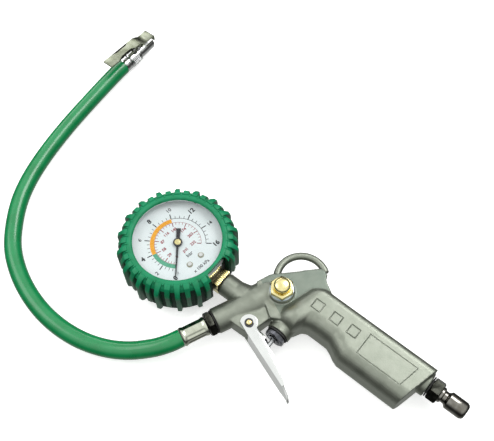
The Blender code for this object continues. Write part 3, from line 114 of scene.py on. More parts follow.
# %% [markdown]
# Three helpers make nearly every mesh: `lathe` turns a profile round an axis, `plate`
# gives an outline a thickness, and `bake` turns live modifiers into a plain mesh.
# A finished piece has its place in its mesh, so its object stays at the origin.

# %% Mesh helpers
SHARP = math.radians(32.0)


def add_object(name, data):
    obj = bpy.data.objects.new(name, data)
    bpy.context.scene.collection.objects.link(obj)
    return obj


def from_bmesh(name, bm, place=Matrix()):
    bmesh.ops.recalc_face_normals(bm, faces=bm.faces)
    mesh = bpy.data.meshes.new(name)
    bm.to_mesh(mesh)
    bm.free()
    mesh.transform(place)
    return add_object(name, mesh)


def lathe(name, profile, place=Matrix(), steps=72):
    """A turned piece from (radius, height) pairs; a profile off the axis makes a ring."""
    bm = bmesh.new()
    rings = []
    for radius, height in profile:
        count = steps if radius > 0.0 else 1
        rings.append([bm.verts.new((radius * math.cos(2 * math.pi * i / steps),
                                    radius * math.sin(2 * math.pi * i / steps), height))
                      for i in range(count)])
    pairs = list(zip(rings, rings[1:]))
    if profile[0][0] > 0.0:
        pairs.append((rings[-1], rings[0]))
    for first, second in pairs:
        for i in range(steps):
            j = (i + 1) % steps
            corners = [first[i % len(first)], first[j % len(first)],
                       second[j % len(second)], second[i % len(second)]]
            bm.faces.new(list(dict.fromkeys(corners)))
    return from_bmesh(name, bm, place)


def plate(name, outline, low, high, place=Matrix()):
    """A flat outline given a thickness between two heights."""
    bm = bmesh.new()
    lower = [bm.verts.new((x, y, low)) for x, y in outline]
    upper = [bm.verts.new((x, y, high)) for x, y in outline]
    bm.faces.new(lower)
    bm.faces.new(upper)
    for i in range(len(outline)):
        j = (i + 1) % len(outline)
        bm.faces.new((lower[i], lower[j], upper[j], upper[i]))
    return from_bmesh(name, bm, place)


def bake(obj):
    """Replaces the object's mesh with what its modifiers make of it."""
    graph = bpy.context.evaluated_depsgraph_get()
    mesh = bpy.data.meshes.new_from_object(obj.evaluated_get(graph))
    obj.modifiers.clear()
    obj.data = mesh
    return obj


def soften(obj, width, segments=3, angle=35.0):
    """Rounds the sharp edges, as deburring or plating does, and shades the rest smooth."""
    bevel = obj.modifiers.new("rounding", "BEVEL")
    bevel.width = width
    bevel.segments = segments
    bevel.limit_method = "ANGLE"
    bevel.angle_limit = math.radians(angle)
    bevel.harden_normals = False
    bake(obj)
    return smooth(obj)


def smooth(obj, angle=SHARP):
    obj.data.shade_smooth()
    obj.data.set_sharp_from_angle(angle=angle)
    return obj


def combine(target, others, operation="UNION", solver="EXACT"):
    for other in others:
        modifier = target.modifiers.new("combine", "BOOLEAN")
        modifier.operation = operation
        modifier.object = other
        modifier.solver = solver
        bake(target)
        bpy.data.objects.remove(other, do_unlink=True)
    return target


def arc(centre, radius, start, end, steps):
    """Points on a round stretch of an outline; angles in degrees."""
    return [(centre[0] + radius * math.cos(math.radians(start + (end - start) * i / steps)),
             centre[1] + radius * math.sin(math.radians(start + (end - start) * i / steps)))
            for i in range(steps + 1)]


def rounded(corners, steps=6):
    """A closed outline from (x, y, radius) corners, each with its arc."""
    outline = []
    for index, (x, y, radius) in enumerate(corners):
        here = Vector((x, y))
        before = Vector(corners[index - 1][:2]) - here
        after = Vector(corners[(index + 1) % len(corners)][:2]) - here
        if radius == 0.0:
            outline.append((x, y))
            continue
        half = before.angle(after) / 2
        reach = radius / math.tan(half)
        centre = here + (before.normalized() + after.normalized()).normalized() * (
            radius / math.sin(half))
        first = here + before.normalized() * reach - centre
        last = here + after.normalized() * reach - centre
        swing = math.atan2(first.x * last.y - first.y * last.x, first.dot(last))
        for step in range(steps + 1):
            place = centre + Matrix.Rotation(swing * step / steps, 2) @ first
            outline.append((place.x, place.y))
    return outline


def chamfered_nut(name, flats, start, end, bore, place, turn=0.0, dish=0.18):
    """A hexagon whose corners are turned off at both ends, with a round bore."""
    corner = flats / 2 / math.cos(math.pi / 6)
    outline = arc((0.0, 0.0), corner, math.degrees(turn), math.degrees(turn) + 300.0, 5)
    nut = plate(name, outline, start, end)
    lost = (corner - flats / 2) * 0.62 + dish * MM
    turned = lathe("turned_blank", [
        (bore, end), (flats / 2 - dish * MM, end), (corner + 0.05 * MM, end - lost),
        (corner + 0.05 * MM, start + lost), (flats / 2 - dish * MM, start), (bore, start)])
    combine(nut, [turned], "INTERSECT")
    nut.data.transform(place)
    return soften(nut, 0.16 * MM, 2, 25.0)


print("helpers ready")

# %% [markdown]
# Each finish is one function call on a small set of nodes: a base colour with a slow and
# a fine variation, a roughness that varies with wear, and a fine bump. Numbers that are
# the same all over a surface are set on the shader's own sockets.

# %% Material helper
def finish_of(name, colour, other, roughness, metallic=0.0, grain=900.0, bump=0.0,
              bump_scale=2500.0, rough_spread=0.08, stretch=None, **sockets):
    """A Principled material: colour drifts to `other`, and roughness and bump by noise."""
    material = bpy.data.materials.new(name)
    material.use_nodes = True
    tree = material.node_tree
    shader = tree.nodes["Principled BSDF"]
    shader.inputs["Metallic"].default_value = metallic
    for socket, value in sockets.items():
        shader.inputs[socket.replace("_", " ")].default_value = value
    place = tree.nodes.new("ShaderNodeTexCoord")
    source = place.outputs["Object"]
    if stretch:
        mapping = tree.nodes.new("ShaderNodeMapping")
        mapping.inputs["Scale"].default_value = stretch
        tree.links.new(source, mapping.inputs["Vector"])
        source = mapping.outputs["Vector"]
    drift = tree.nodes.new("ShaderNodeTexNoise")
    drift.inputs["Scale"].default_value = grain
    drift.inputs["Detail"].default_value = 6.0
    tree.links.new(source, drift.inputs["Vector"])
    ramp = tree.nodes.new("ShaderNodeValToRGB")
    ramp.color_ramp.elements[0].position = 0.35
    ramp.color_ramp.elements[0].color = (*colour, 1.0)
    ramp.color_ramp.elements[1].position = 0.68
    ramp.color_ramp.elements[1].color = (*other, 1.0)
    tree.links.new(drift.outputs["Fac"], ramp.inputs["Fac"])
    tree.links.new(ramp.outputs["Color"], shader.inputs["Base Color"])
    rough = tree.nodes.new("ShaderNodeMapRange")
    rough.inputs["To Min"].default_value = max(roughness - rough_spread, 0.01)
    rough.inputs["To Max"].default_value = roughness + rough_spread
    tree.links.new(drift.outputs["Fac"], rough.inputs["Value"])
    tree.links.new(rough.outputs["Result"], shader.inputs["Roughness"])
    if bump:
        grit = tree.nodes.new("ShaderNodeTexNoise")
        grit.inputs["Scale"].default_value = bump_scale
        grit.inputs["Detail"].default_value = 3.0
        tree.links.new(source, grit.inputs["Vector"])
        height = tree.nodes.new("ShaderNodeBump")
        height.inputs["Strength"].default_value = bump
        height.inputs["Distance"].default_value = 0.15 * MM
        tree.links.new(grit.outputs["Fac"], height.inputs["Height"])
        tree.links.new(height.outputs["Normal"], shader.inputs["Normal"])
    return material


CAST_ALLOY = finish_of("cast_alloy", (0.245, 0.265, 0.222), (0.30, 0.32, 0.272), 0.42,
                       metallic=0.9, grain=160.0, bump=0.5, bump_scale=2600.0)
# painted shade: a darker, slightly rougher copy of cast_alloy for the flats below the handle's top
CAST_FLATS_PAINTED_SHADE = finish_of("cast_flats_painted_shade", (0.165, 0.195, 0.165), (0.205, 0.235, 0.20), 0.46,
                        metallic=0.9, grain=160.0, bump=0.5, bump_scale=2600.0)
CHROME = finish_of("chrome", (0.83, 0.84, 0.84), (0.76, 0.77, 0.77), 0.10,
                   metallic=1.0, grain=120.0, rough_spread=0.04)
WORN_STEEL = finish_of("worn_plating", (0.60, 0.61, 0.61), (0.74, 0.74, 0.73), 0.20,
                       metallic=1.0, grain=500.0, bump=0.12)
BLACK_NICKEL = finish_of("black_nickel", (0.10, 0.105, 0.12), (0.17, 0.17, 0.19), 0.24,
                         metallic=1.0, grain=400.0, bump=0.08)
BRASS = finish_of("brass", (0.80, 0.69, 0.32), (0.90, 0.80, 0.44), 0.22,
                  metallic=1.0, grain=300.0, bump=0.06)
SPRING_STEEL = finish_of("spring_steel", (0.50, 0.51, 0.53), (0.62, 0.63, 0.64), 0.28,
                         metallic=1.0, grain=700.0)
BLUED_STEEL = finish_of("blued_steel", (0.34, 0.42, 0.52), (0.48, 0.55, 0.62), 0.3,
                        metallic=1.0, grain=350.0)
BOOT_RUBBER = finish_of("boot_rubber", (0.001, 0.200, 0.080), (0.003, 0.255, 0.11), 0.45,
                        grain=140.0, bump=0.25, bump_scale=1400.0, Specular_IOR_Level=0.35)
# painted shade: a darker copy of the boot rubber for the lower sides of the lugs
BOOT_LUG_PAINTED_SHADE = finish_of("boot_lug_painted_shade", (0.001, 0.085, 0.035), (0.002, 0.13, 0.055), 0.4,
                      grain=140.0, bump=0.25, bump_scale=1400.0, Specular_IOR_Level=0.5)
# painted shade: a near-black copy of the boot rubber for the wall below the shoulder
BOOT_WALL_PAINTED_SHADE = finish_of("boot_wall_painted_shade", (0.001, 0.022, 0.012), (0.002, 0.04, 0.02), 0.6,
                       grain=140.0, bump=0.2, bump_scale=1400.0, Specular_IOR_Level=0.15)
FERRULE_PLATE = finish_of("ferrule_plate", (0.52, 0.54, 0.45), (0.64, 0.66, 0.56), 0.17,
                          metallic=1.0, grain=260.0, bump=0.05)
BLACK_OXIDE = finish_of("black_oxide", (0.026, 0.027, 0.022), (0.06, 0.062, 0.052), 0.3,
                        metallic=1.0, grain=400.0, bump=0.08)
PLUG_STEEL = finish_of("plug_steel", (0.17, 0.16, 0.14), (0.30, 0.29, 0.27), 0.13,
                       metallic=1.0, grain=220.0, bump=0.06)
HOSE_RUBBER = finish_of("hose_rubber", (0.001, 0.215, 0.060), (0.002, 0.265, 0.080), 0.28,
                        grain=90.0, bump=0.12, bump_scale=800.0, Coat_Weight=0.5,
                        Coat_Roughness=0.14)
BLACK_RUBBER = finish_of("black_rubber", (0.012, 0.012, 0.012), (0.03, 0.03, 0.03), 0.62,
                         grain=500.0, bump=0.2)
CASE_BLACK = finish_of("case_black", (0.02, 0.02, 0.02), (0.04, 0.04, 0.04), 0.4,
                       grain=400.0, bump=0.1)
DIAL_WHITE = finish_of("dial_white", (0.74, 0.81, 0.83), (0.80, 0.86, 0.88), 0.42,
                       grain=60.0)
INK_BLACK = finish_of("ink_black", (0.015, 0.015, 0.02), (0.03, 0.03, 0.035), 0.5)
INK_RED = finish_of("ink_red", (0.26, 0.015, 0.03), (0.32, 0.02, 0.04), 0.5)
INK_GREY = finish_of("ink_grey", (0.34, 0.34, 0.26), (0.40, 0.40, 0.32), 0.5)
INK_GREEN = finish_of("ink_green", (0.08, 0.36, 0.22), (0.12, 0.42, 0.28), 0.5)
INK_ORANGE = finish_of("ink_orange", (0.80, 0.33, 0.01), (0.88, 0.42, 0.03), 0.5)
LENS_CLEAR = finish_of("lens_clear", (0.02, 0.03, 0.03), (0.03, 0.04, 0.04), 0.04,
                       grain=40.0, rough_spread=0.02, Alpha=0.05)
print("finishes:", len(bpy.data.materials))


def dress(obj, material, body, slot, *nodes):
    """Gives a finished piece its material, its body and the nodes it stands for; the slot is not
    used.
    """
    obj.data.materials.clear()
    obj.data.materials.append(material)
    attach(obj, body)
    if nodes:
        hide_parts(*nodes)
    return obj

# %% [markdown]
# The hose is one length of rubber hose, bent by hand into a loose hook and lying on the
# table. It is a curve, because a curve keeps a true round section round every bend. Its
# route starts straight out of the ferrule and ends straight in the chuck's collar.

# %% Hose
HOSE_R = 5.5 * MM
HALF_THICK = DATUM.z
CHUCK_ANGLE = math.radians(26.0)
CHUCK_DIR = Vector((math.cos(CHUCK_ANGLE), math.sin(CHUCK_ANGLE), 0.0))
CHUCK_HEIGHT = middle("chuck_collar").z
HOSE_START = Vector((-21.3, 0.0, 0.0)) * MM
HOSE_END = Vector((29.6, 208.4, 0.0)) * MM + UP * (CHUCK_HEIGHT - HALF_THICK)
HOSE_LEAD = 4.0 * MM
HOSE_ROUTE = (
    (-30.0, 0.6, 12.3), (-38.5, 2.9, 10.6), (-51.3, 9.0, 7.4), (-63.2, 17.5, 5.8),
    (-73.5, 28.2, 5.6), (-81.8, 41.0, 5.6), (-88.0, 55.6, 5.6), (-91.6, 71.7, 5.6),
    (-92.5, 88.6, 5.6), (-90.2, 105.6, 5.6), (-84.0, 121.2, 5.6), (-75.2, 136.2, 5.6),
    (-64.6, 148.6, 5.6), (-51.4, 160.2, 5.6), (-37.2, 170.6, 5.6), (-22.2, 180.4, 5.6),
    (-6.4, 189.6, 5.8), (9.8, 198.4, 6.4), (21.4, 204.4, 6.9),
)
route = [HOSE_START, HOSE_START - BARREL_DIR * HOSE_LEAD]
route += [Vector((x, y, z)) * MM - UP * HALF_THICK for x, y, z in HOSE_ROUTE]
hose_tip = HOSE_END - CHUCK_DIR * 0.3 * MM
route += [hose_tip - CHUCK_DIR * HOSE_LEAD, hose_tip]
hose_line = [TOOL @ route[0]]
for before, start, end, after in zip(route, route[1:], route[2:], route[3:]):
    for step in range(6):
        t = step / 6
        hose_line.append(TOOL @ (0.5 * (
            2 * start + (end - before) * t
            + (2 * before - 5 * start + 4 * end - after) * t ** 2
            + (3 * start - before - 3 * end + after) * t ** 3)))
hose_line += [TOOL @ route[-2], TOOL @ route[-1]]
hose_length = sum((b - a).length for a, b in zip(hose_line, hose_line[1:]))
hose_curve = bpy.data.curves.new("hose", "CURVE")
hose_curve.dimensions = "3D"
hose_curve.bevel_depth = HOSE_R
hose_curve.bevel_resolution = 10
hose_curve.use_fill_caps = True
hose_spline = hose_curve.splines.new("POLY")
hose_spline.points.add(len(hose_line) - 1)
for point, place in zip(hose_spline.points, hose_line):
    point.co = (*place, 1.0)
hose_spline.use_smooth = True
hose = add_object("rubber_hose", hose_curve)
dress(hose, HOSE_RUBBER, "body", "green_hose", "air_hose")
print("hose length, mm:", round(hose_length / MM, 1))

# %% [markdown]
# The body is one sandblasted die casting: barrel, gauge branch, valve boss, handle and
# hanging loop. Cast metal has no sharp inner corners, so the plain shapes are joined, cut,
# turned into an even voxel mesh and smoothed, which leaves a soft fillet at every joint.
# The three squares and the blank panel are fine grooves, cut after the smoothing so that
# their edges stay crisp. The flats below the handle's top get painted shade: a darker,
# slightly rougher copy of the cast finish.

# %% Casting
BARREL_R = 8.0 * MM
BARREL_ROOT_R = 9.8 * MM
BRANCH_AT = 25.9 * MM
BRANCH_R = 7.2 * MM
BRANCH_LENGTH = 21.0 * MM
HANDLE_BACK = 55.4 * MM
NECK_FRONT = HANDLE_BACK - 24.8 * MM
HANDLE_FRONT = HANDLE_BACK - 29.8 * MM
HANDLE_END = 111.7 * MM
VALVE_AT = 34.3 * MM
VALVE_FACE = 18.3 * MM
INLET_T = 48.0 * MM
INLET_FACE = 120.0 * MM
BLEED_AT = Vector((43.3, -4.4, 0.0)) * MM
PIVOT = Vector((17.2, -12.7, 0.0)) * MM
CAST_GRAIN = 0.50 * MM


def rim_bevel(obj, width, segments=4):
    bevel = obj.modifiers.new("rims", "BEVEL")
    bevel.width = width
    bevel.segments = segments
    bevel.limit_method = "ANGLE"
    bevel.angle_limit = math.radians(60.0)
    return bake(obj)


def horn_outline():
    corners = (
        (38.5 * MM, 31.5 * MM, 0.0), (50.0 * MM, 38.0 * MM, 0.0), (62.0 * MM, 44.0 * MM, 0.0),
        (62.0 * MM, HANDLE_BACK - 3.0 * MM, 0.0),
        (47.0 * MM, HANDLE_BACK - 0.4 * MM, 9.0 * MM),
        (36.4 * MM, HANDLE_BACK + 6.0 * MM, 7.0 * MM),
        (35.2 * MM, HANDLE_BACK + 14.6 * MM, 4.0 * MM),
        (20.5 * MM, HANDLE_BACK - 0.6 * MM, 4.0 * MM),
        (28.5 * MM, HANDLE_BACK - 9.0 * MM, 8.0 * MM),
    )
    places = [(in_handle(along, across), radius) for along, across, radius in corners]
    return rounded([(place.x, place.y, radius) for place, radius in places])


def shoulder_outline():
    corner = in_handle(34.9 * MM, HANDLE_BACK + 14.0 * MM)
    return rounded((
        (31.6 * MM, -3.0 * MM, 0.0), (29.3 * MM, -15.6 * MM, 0.0), (38.0 * MM, -22.0 * MM, 0.0),
        (52.0 * MM, -23.0 * MM, 0.0),
        (corner.x - 2.0 * MM, corner.y + 0.9 * MM, 3.0 * MM),
        (54.5 * MM, 4.4 * MM, 6.0 * MM), (43.0 * MM, 8.9 * MM, 6.0 * MM),
        (33.0 * MM, 8.6 * MM, 0.0),
    ))


def front_at(along):
    """How far across the front of the handle lies: finger notch, neck, then the bulge."""
    stops = ((27.0, 22.5), (40.5, 22.8), (41.8, 25.0), (43.6, 28.6), (46.5, 30.4),
             (50.0, NECK_FRONT / MM), (61.0, NECK_FRONT / MM - 0.1), (64.5, 29.0),
             (68.0, 26.9), (71.5, HANDLE_FRONT / MM), (130.0, HANDLE_FRONT / MM))
    for (low, first), (high, second) in zip(stops, stops[1:]):
        if along <= high * MM:
            share = (along / MM - low) / (high - low)
            return (first + (second - first) * share) * MM
    return HANDLE_FRONT


def grip_solid():
    """The thick part of the handle: sections with rounded rims, set one after another."""
    head, front_rim, back_rim = 27.0 * MM, 8.5 * MM, 5.0 * MM
    slope = math.tan(math.radians(14.5))
    steps, quarter = 150, 8
    bm = bmesh.new()
    rings = []
    for step in range(steps + 1):
        along = head + (HANDLE_END - head) * step / steps
        front, back = front_at(along), HANDLE_BACK
        lean = (front_at(along + 0.5 * MM) - front_at(along - 0.5 * MM)) / MM
        swell = min(1.0, (along - head) / (10.0 * MM))
        half = 3.0 * MM + (HALF_THICK - 3.0 * MM) * math.sqrt(1.0 - (1.0 - swell) ** 2)
        drop = half / HALF_THICK
        section = []
        for turn in range(quarter + 1):
            angle = math.pi / 2 * turn / quarter
            spread = min(math.sqrt(1.0 + lean * lean), 1.25)
            inset = front_rim * (1.0 - math.sin(angle)) * spread
            section.append((front + inset, half - front_rim * drop * (1.0 - math.cos(angle))))
        for turn in range(quarter + 1):
            angle = math.pi / 2 * turn / quarter
            inset = back_rim * (1.0 - math.sin(angle))
            section.insert(0, (back - inset, half - back_rim * drop * (1.0 - math.cos(angle))))
        upper = [(across, max(z, 0.5 * MM)) for across, z in section]
        ring = []
        for across, z in upper + [(across, -z) for across, z in reversed(upper)]:
            cut_back = slope * (across - HANDLE_FRONT) * min(1.0, max(0.0, (along - 92 * MM) /
                                                                       (HANDLE_END - 92 * MM)))
            corner = max(0.0, (across - 38 * MM) / (17 * MM)) ** 2 * 12.0 * MM
            corner *= max(0.0, 1.0 - (along - head) / (24 * MM))
            place = in_handle(along + cut_back + corner, across, z)
            ring.append(bm.verts.new(place))
        rings.append(ring)
    for first, second in zip(rings, rings[1:]):
        for k in range(len(first)):
            following = (k + 1) % len(first)
            bm.faces.new((first[k], first[following], second[following], second[k]))
    bm.faces.new(rings[0])
    bm.faces.new(rings[-1][::-1])
    bmesh.ops.recalc_face_normals(bm, faces=bm.faces)
    return from_bmesh("grip", bm, TOOL)


def web_outline():
    return rounded((
        (8.6 * MM, -4.0 * MM, 0.0), (8.8 * MM, -7.2 * MM, 1.0 * MM),
        (12.9 * MM, -15.6 * MM, 2.0 * MM), (19.0 * MM, -17.2 * MM, 2.5 * MM),
        (29.6 * MM, -15.2 * MM, 0.5 * MM), (40.0 * MM, -20.0 * MM, 0.0),
        (44.0 * MM, -4.0 * MM, 0.0),
    ))


def barrel_solid():
    return lathe("casting", [
        (0.0, 46 * MM), (BARREL_R, 46 * MM), (BARREL_ROOT_R, 38 * MM),
        (BARREL_ROOT_R, BRANCH_AT), (BARREL_R, BRANCH_AT - 12 * MM), (BARREL_R, 1.2 * MM),
        (BARREL_R - 0.5 * MM, 0.7 * MM), (0.0, 0.7 * MM)], frame_at((0, 0, 0), BARREL_DIR))


def branch_solid():
    wide = BARREL_R + 0.6 * MM
    return lathe("branch", [
        (0.0, BRANCH_LENGTH), (BRANCH_R - 0.7 * MM, BRANCH_LENGTH),
        (BRANCH_R, BRANCH_LENGTH - 0.7 * MM), (BRANCH_R, 12 * MM), (wide, 6 * MM),
        (wide, 0.0), (0.0, 0.0)], frame_at((BRANCH_AT, 0, 0), BRANCH_DIR))


def boss(name, radius, start, end, origin, direction, rim=0.4 * MM):
    return lathe(name, [(0.0, end), (radius - rim, end), (radius, end - rim), (radius, start),
                        (0.0, start)], frame_at(origin, direction))


def loop_solid():
    """The hanging loop: a round bar bent on an arc whose ends run into the shoulder."""
    centre, radius, wire = Vector((60.3, 0.2, 0.0)) * MM, 15.2 * MM, 2.4 * MM
    curve = bpy.data.curves.new("loop", "CURVE")
    curve.dimensions = "3D"
    curve.bevel_depth = wire
    curve.bevel_resolution = 6
    curve.use_fill_caps = True
    spline = curve.splines.new("POLY")
    places = arc(centre, radius, -14.0, 192.0, 48)
    spline.points.add(len(places) - 1)
    for point, (x, y) in zip(spline.points, places):
        point.co = (x, y, 0.0, 1.0)
    loop = add_object("loop", curve)
    graph = bpy.context.evaluated_depsgraph_get()
    mesh = bpy.data.meshes.new_from_object(loop.evaluated_get(graph))
    bpy.data.objects.remove(loop, do_unlink=True)
    bm = bmesh.new()
    bm.from_mesh(mesh)
    bmesh.ops.remove_doubles(bm, verts=bm.verts, dist=0.001 * MM)
    return from_bmesh("loop", bm, TOOL)


def groove(corners, width, depth):
    """A fine groove along the edges of an outline on the handle's top face."""
    centre = sum((Vector(corner) for corner in corners), Vector((0.0, 0.0))) / len(corners)
    rims = []
    for side in (0.5, -0.5):
        places = []
        for corner in corners:
            out = Vector(corner) - centre
            out = side * Vector((math.copysign(width, out.x), math.copysign(width, out.y)))
            place = in_handle(*(Vector(corner) + out))
            places.append((place.x, place.y))
        rims.append(plate("groove", places, HALF_THICK - depth - (0.2 * MM if side < 0 else 0.0),
                          HALF_THICK + 2 * MM, TOOL))
    return combine(rims[0], [rims[1]], "DIFFERENCE")


def square_mark(along):
    """A square drawn by a groove in the top face of the handle."""
    half, across = 3.0 * MM, 42.8 * MM
    return groove([(along - half, across - half), (along + half, across - half),
                   (along + half, across + half), (along - half, across + half)],
                  0.5 * MM, 0.4 * MM)


def panel_groove():
    """The rim of a blank panel."""
    return groove([(78 * MM, 33.5 * MM), (107 * MM, 33.5 * MM), (110 * MM, 47.5 * MM),
                   (78 * MM, 47.5 * MM)], 0.3 * MM, 0.2 * MM)


HORN_HALF = 8.2 * MM
# painted shade starts this far along the barrel
FLATS_PAINTED_SHADE_FROM = 36 * MM
casting = barrel_solid()
valve_at = in_handle(VALVE_AT, 0.0)
inlet_at = in_handle(0.0, INLET_T)
combine(casting, [
    branch_solid(),
    grip_solid(),
    rim_bevel(plate("horn", horn_outline(), -HORN_HALF, HORN_HALF, TOOL), 2.2 * MM),
    rim_bevel(plate("shoulder", shoulder_outline(), -HORN_HALF, HORN_HALF, TOOL), 0.8 * MM, 2),
    rim_bevel(plate("web", web_outline(), -6.3 * MM, 6.3 * MM, TOOL), 0.6 * MM, 2),
    boss("valve_boss", 7.4 * MM, 46 * MM, VALVE_FACE, valve_at, ACROSS, -0.4 * MM),
    boss("bleed_boss", 7.6 * MM, 0.0, BARREL_ROOT_R + 0.4 * MM, BLEED_AT, UP),
    boss("inlet_boss", 7.5 * MM, 90 * MM, INLET_FACE, inlet_at, ALONG),
    loop_solid(),
], solver="MANIFOLD")
combine(casting, [
    boss("hose_port", 4.8 * MM, -1 * MM, 11.7 * MM, (0, 0, 0), BARREL_DIR, 0.0),
    boss("gauge_port", 4.8 * MM, BRANCH_LENGTH - 11 * MM, BRANCH_LENGTH + 1 * MM,
         (BRANCH_AT, 0, 0), BRANCH_DIR, 0.0),
    boss("valve_bore", 5.2 * MM, VALVE_FACE - 1 * MM, 50 * MM, valve_at, ACROSS, 0.0),
    boss("bleed_bore", 4.4 * MM, -5 * MM, BARREL_ROOT_R + 2 * MM, BLEED_AT, UP, 0.0),
    boss("inlet_port", 4.8 * MM, INLET_FACE - 11 * MM, INLET_FACE + 1 * MM, inlet_at, ALONG,
         0.0),
    boss("pivot_hole", 2.1 * MM, -HALF_THICK, HALF_THICK, PIVOT, UP, 0.0),
], "DIFFERENCE", "MANIFOLD")
remesh = casting.modifiers.new("voxels", "REMESH")
remesh.mode = "VOXEL"
remesh.voxel_size = CAST_GRAIN
relax = casting.modifiers.new("relax", "SMOOTH")
relax.factor = 0.5
relax.iterations = 5
bake(casting)
combine(casting, [square_mark(44.2 * MM), square_mark(57.1 * MM), square_mark(69.3 * MM),
                  panel_groove()], "DIFFERENCE", "MANIFOLD")
smooth(casting, 40.0)
dress(casting, CAST_ALLOY, "body", "cast_alloy", "body_casting")
casting.data.materials.append(CAST_FLATS_PAINTED_SHADE)
into_tool = TOOL.inverted()
for face in casting.data.polygons:
    # painted shade: the flats below the handle's top face get a darker copy of the finish
    place = into_tool @ face.center
    flat = abs(face.normal.z) > 0.95 and abs(abs(place.z) - HORN_HALF) < 0.35 * MM
    if flat and place.x > FLATS_PAINTED_SHADE_FROM:
        face.material_index = 1
print("casting faces:", len(casting.data.polygons))

# %% [markdown]
# The air line plugs on to a hardened steel plug at the end of the handle: a hexagon to
# tighten it by, a waist with a bead, and the long nose that the coupler's balls lock on.

# %% Air-line plug
inlet_frame = frame_at(inlet_at, ALONG)
PLUG_FACE = INLET_FACE + 1.4 * MM
HEX_END = PLUG_FACE + 6.4 * MM
NECK_END = HEX_END + 4.4 * MM
NOSE_END = NECK_END + 12.4 * MM
NOSE_R = 5.3 * MM
plug = lathe("air_line_plug", [
    (2.6 * MM, NOSE_END), (NOSE_R - 1.5 * MM, NOSE_END), (NOSE_R - 0.6 * MM, NOSE_END - 0.7 * MM),
    (NOSE_R, NOSE_END - 2.0 * MM), (NOSE_R, NECK_END + 0.8 * MM),
    (NOSE_R - 1.0 * MM, NECK_END), (NOSE_R - 1.6 * MM, NECK_END - 0.8 * MM),
    (NOSE_R - 1.6 * MM, HEX_END + 1.9 * MM), (NOSE_R - 0.5 * MM, HEX_END + 1.2 * MM),
    (NOSE_R - 0.5 * MM, HEX_END - 0.4 * MM), (4.5 * MM, HEX_END - 0.4 * MM),
    (4.5 * MM, INLET_FACE - 9.5 * MM), (2.6 * MM, INLET_FACE - 9.5 * MM)], inlet_frame)
soften(plug, 0.25 * MM, 3)
plug_hexagon = chamfered_nut("plug_hexagon", 12.5 * MM, PLUG_FACE, HEX_END - 0.1 * MM,
                             4.6 * MM, inlet_frame, math.radians(30))
dress(plug, PLUG_STEEL, "body", "plug_steel", "inlet_plug")
dress(plug_hexagon, BLACK_OXIDE, "body", "plug_steel")
inlet_seal = lathe("plug_seal", [
    (4.8 * MM, INLET_FACE + 1.1 * MM), (6.4 * MM, INLET_FACE + 1.1 * MM),
    (6.6 * MM, INLET_FACE + 0.7 * MM), (6.4 * MM, INLET_FACE + 0.3 * MM),
    (4.8 * MM, INLET_FACE + 0.3 * MM)], inlet_frame)
dress(smooth(inlet_seal), BLACK_RUBBER, "body", "black_rubber", "inlet_seal")
print("plug nose ends", round(NOSE_END / MM, 1), "mm along the handle")

# %% [markdown]
# The lever works a poppet valve in the side boss. Only its black nickel gland nut, the
# fibre washer under it and the tip of the stem can be seen.

# %% Valve gland
valve_frame = frame_at(valve_at, ACROSS)
GLAND_BACK = VALVE_FACE - 1.4 * MM
GLAND_FRONT = GLAND_BACK - 3.6 * MM
gland = chamfered_nut("gland_hexagon", 11.8 * MM, GLAND_FRONT + 0.5 * MM, GLAND_BACK, 4.4 * MM,
                      valve_frame)
gland_core = lathe("gland_core", [
    (1.6 * MM, GLAND_FRONT), (3.6 * MM, GLAND_FRONT), (4.5 * MM, GLAND_FRONT + 0.7 * MM),
    (4.5 * MM, GLAND_BACK), (4.9 * MM, GLAND_BACK), (4.9 * MM, 31 * MM), (3.0 * MM, 31 * MM),
    (3.0 * MM, VALVE_FACE), (1.6 * MM, VALVE_FACE)], valve_frame)
dress(gland, BLACK_NICKEL, "body", "dark_nickel")
dress(soften(gland_core, 0.2 * MM, 2), BLACK_NICKEL, "body", "dark_nickel", "valve_gland_nut")

# %% [markdown]
# The lever is pressed from sheet into a channel: a web the fingers pull, two flanges that
# stiffen it, and two ears round the pivot pin. It is cut from a solid outline, because
# that keeps the sheet the same thickness all over, and then all its edges are rounded.

# %% Trigger lever
LEVER_ANGLE = math.radians(-86.0)
LEVER_SHEET = 1.2 * MM
LEVER_HALF = 7.8 * MM
LEVER_LENGTH = 50.0 * MM
FLANGE_END = 42.0 * MM
WEB_FRONT = -4.05 * MM
lever_frame = TOOL @ Matrix.Translation(PIVOT) @ Matrix.Rotation(LEVER_ANGLE, 4, "Z")
NEAR_BACK = 2.1 * MM
FAR_BACK = 6.0 * MM


def lever_side(back, hump, ear_from):
    """The outline of the channel with a flange this deep: ear, web edge, tongue, flange."""
    outline = [(FLANGE_END - 2 * MM, WEB_FRONT + 2.4 * MM), (33.0 * MM, 0.2 * MM),
               (23.0 * MM, NEAR_BACK), (14.0 * MM, back), (9.0 * MM, back + hump),
               (5.4 * MM, back + hump)]
    outline += arc((0.0, 0.0), 5.3 * MM, ear_from, 230.0, 26)
    outline += [(2.0 * MM, WEB_FRONT - 0.2 * MM), (FLANGE_END, WEB_FRONT),
                (LEVER_LENGTH - 3.5 * MM, WEB_FRONT - 0.3 * MM),
                (LEVER_LENGTH - 0.3 * MM, WEB_FRONT - 1.2 * MM),
                (LEVER_LENGTH, WEB_FRONT - 0.4 * MM),
                (LEVER_LENGTH - 3.0 * MM, WEB_FRONT + 0.9 * MM),
                (FLANGE_END, WEB_FRONT + LEVER_SHEET + 0.1 * MM)]
    return outline


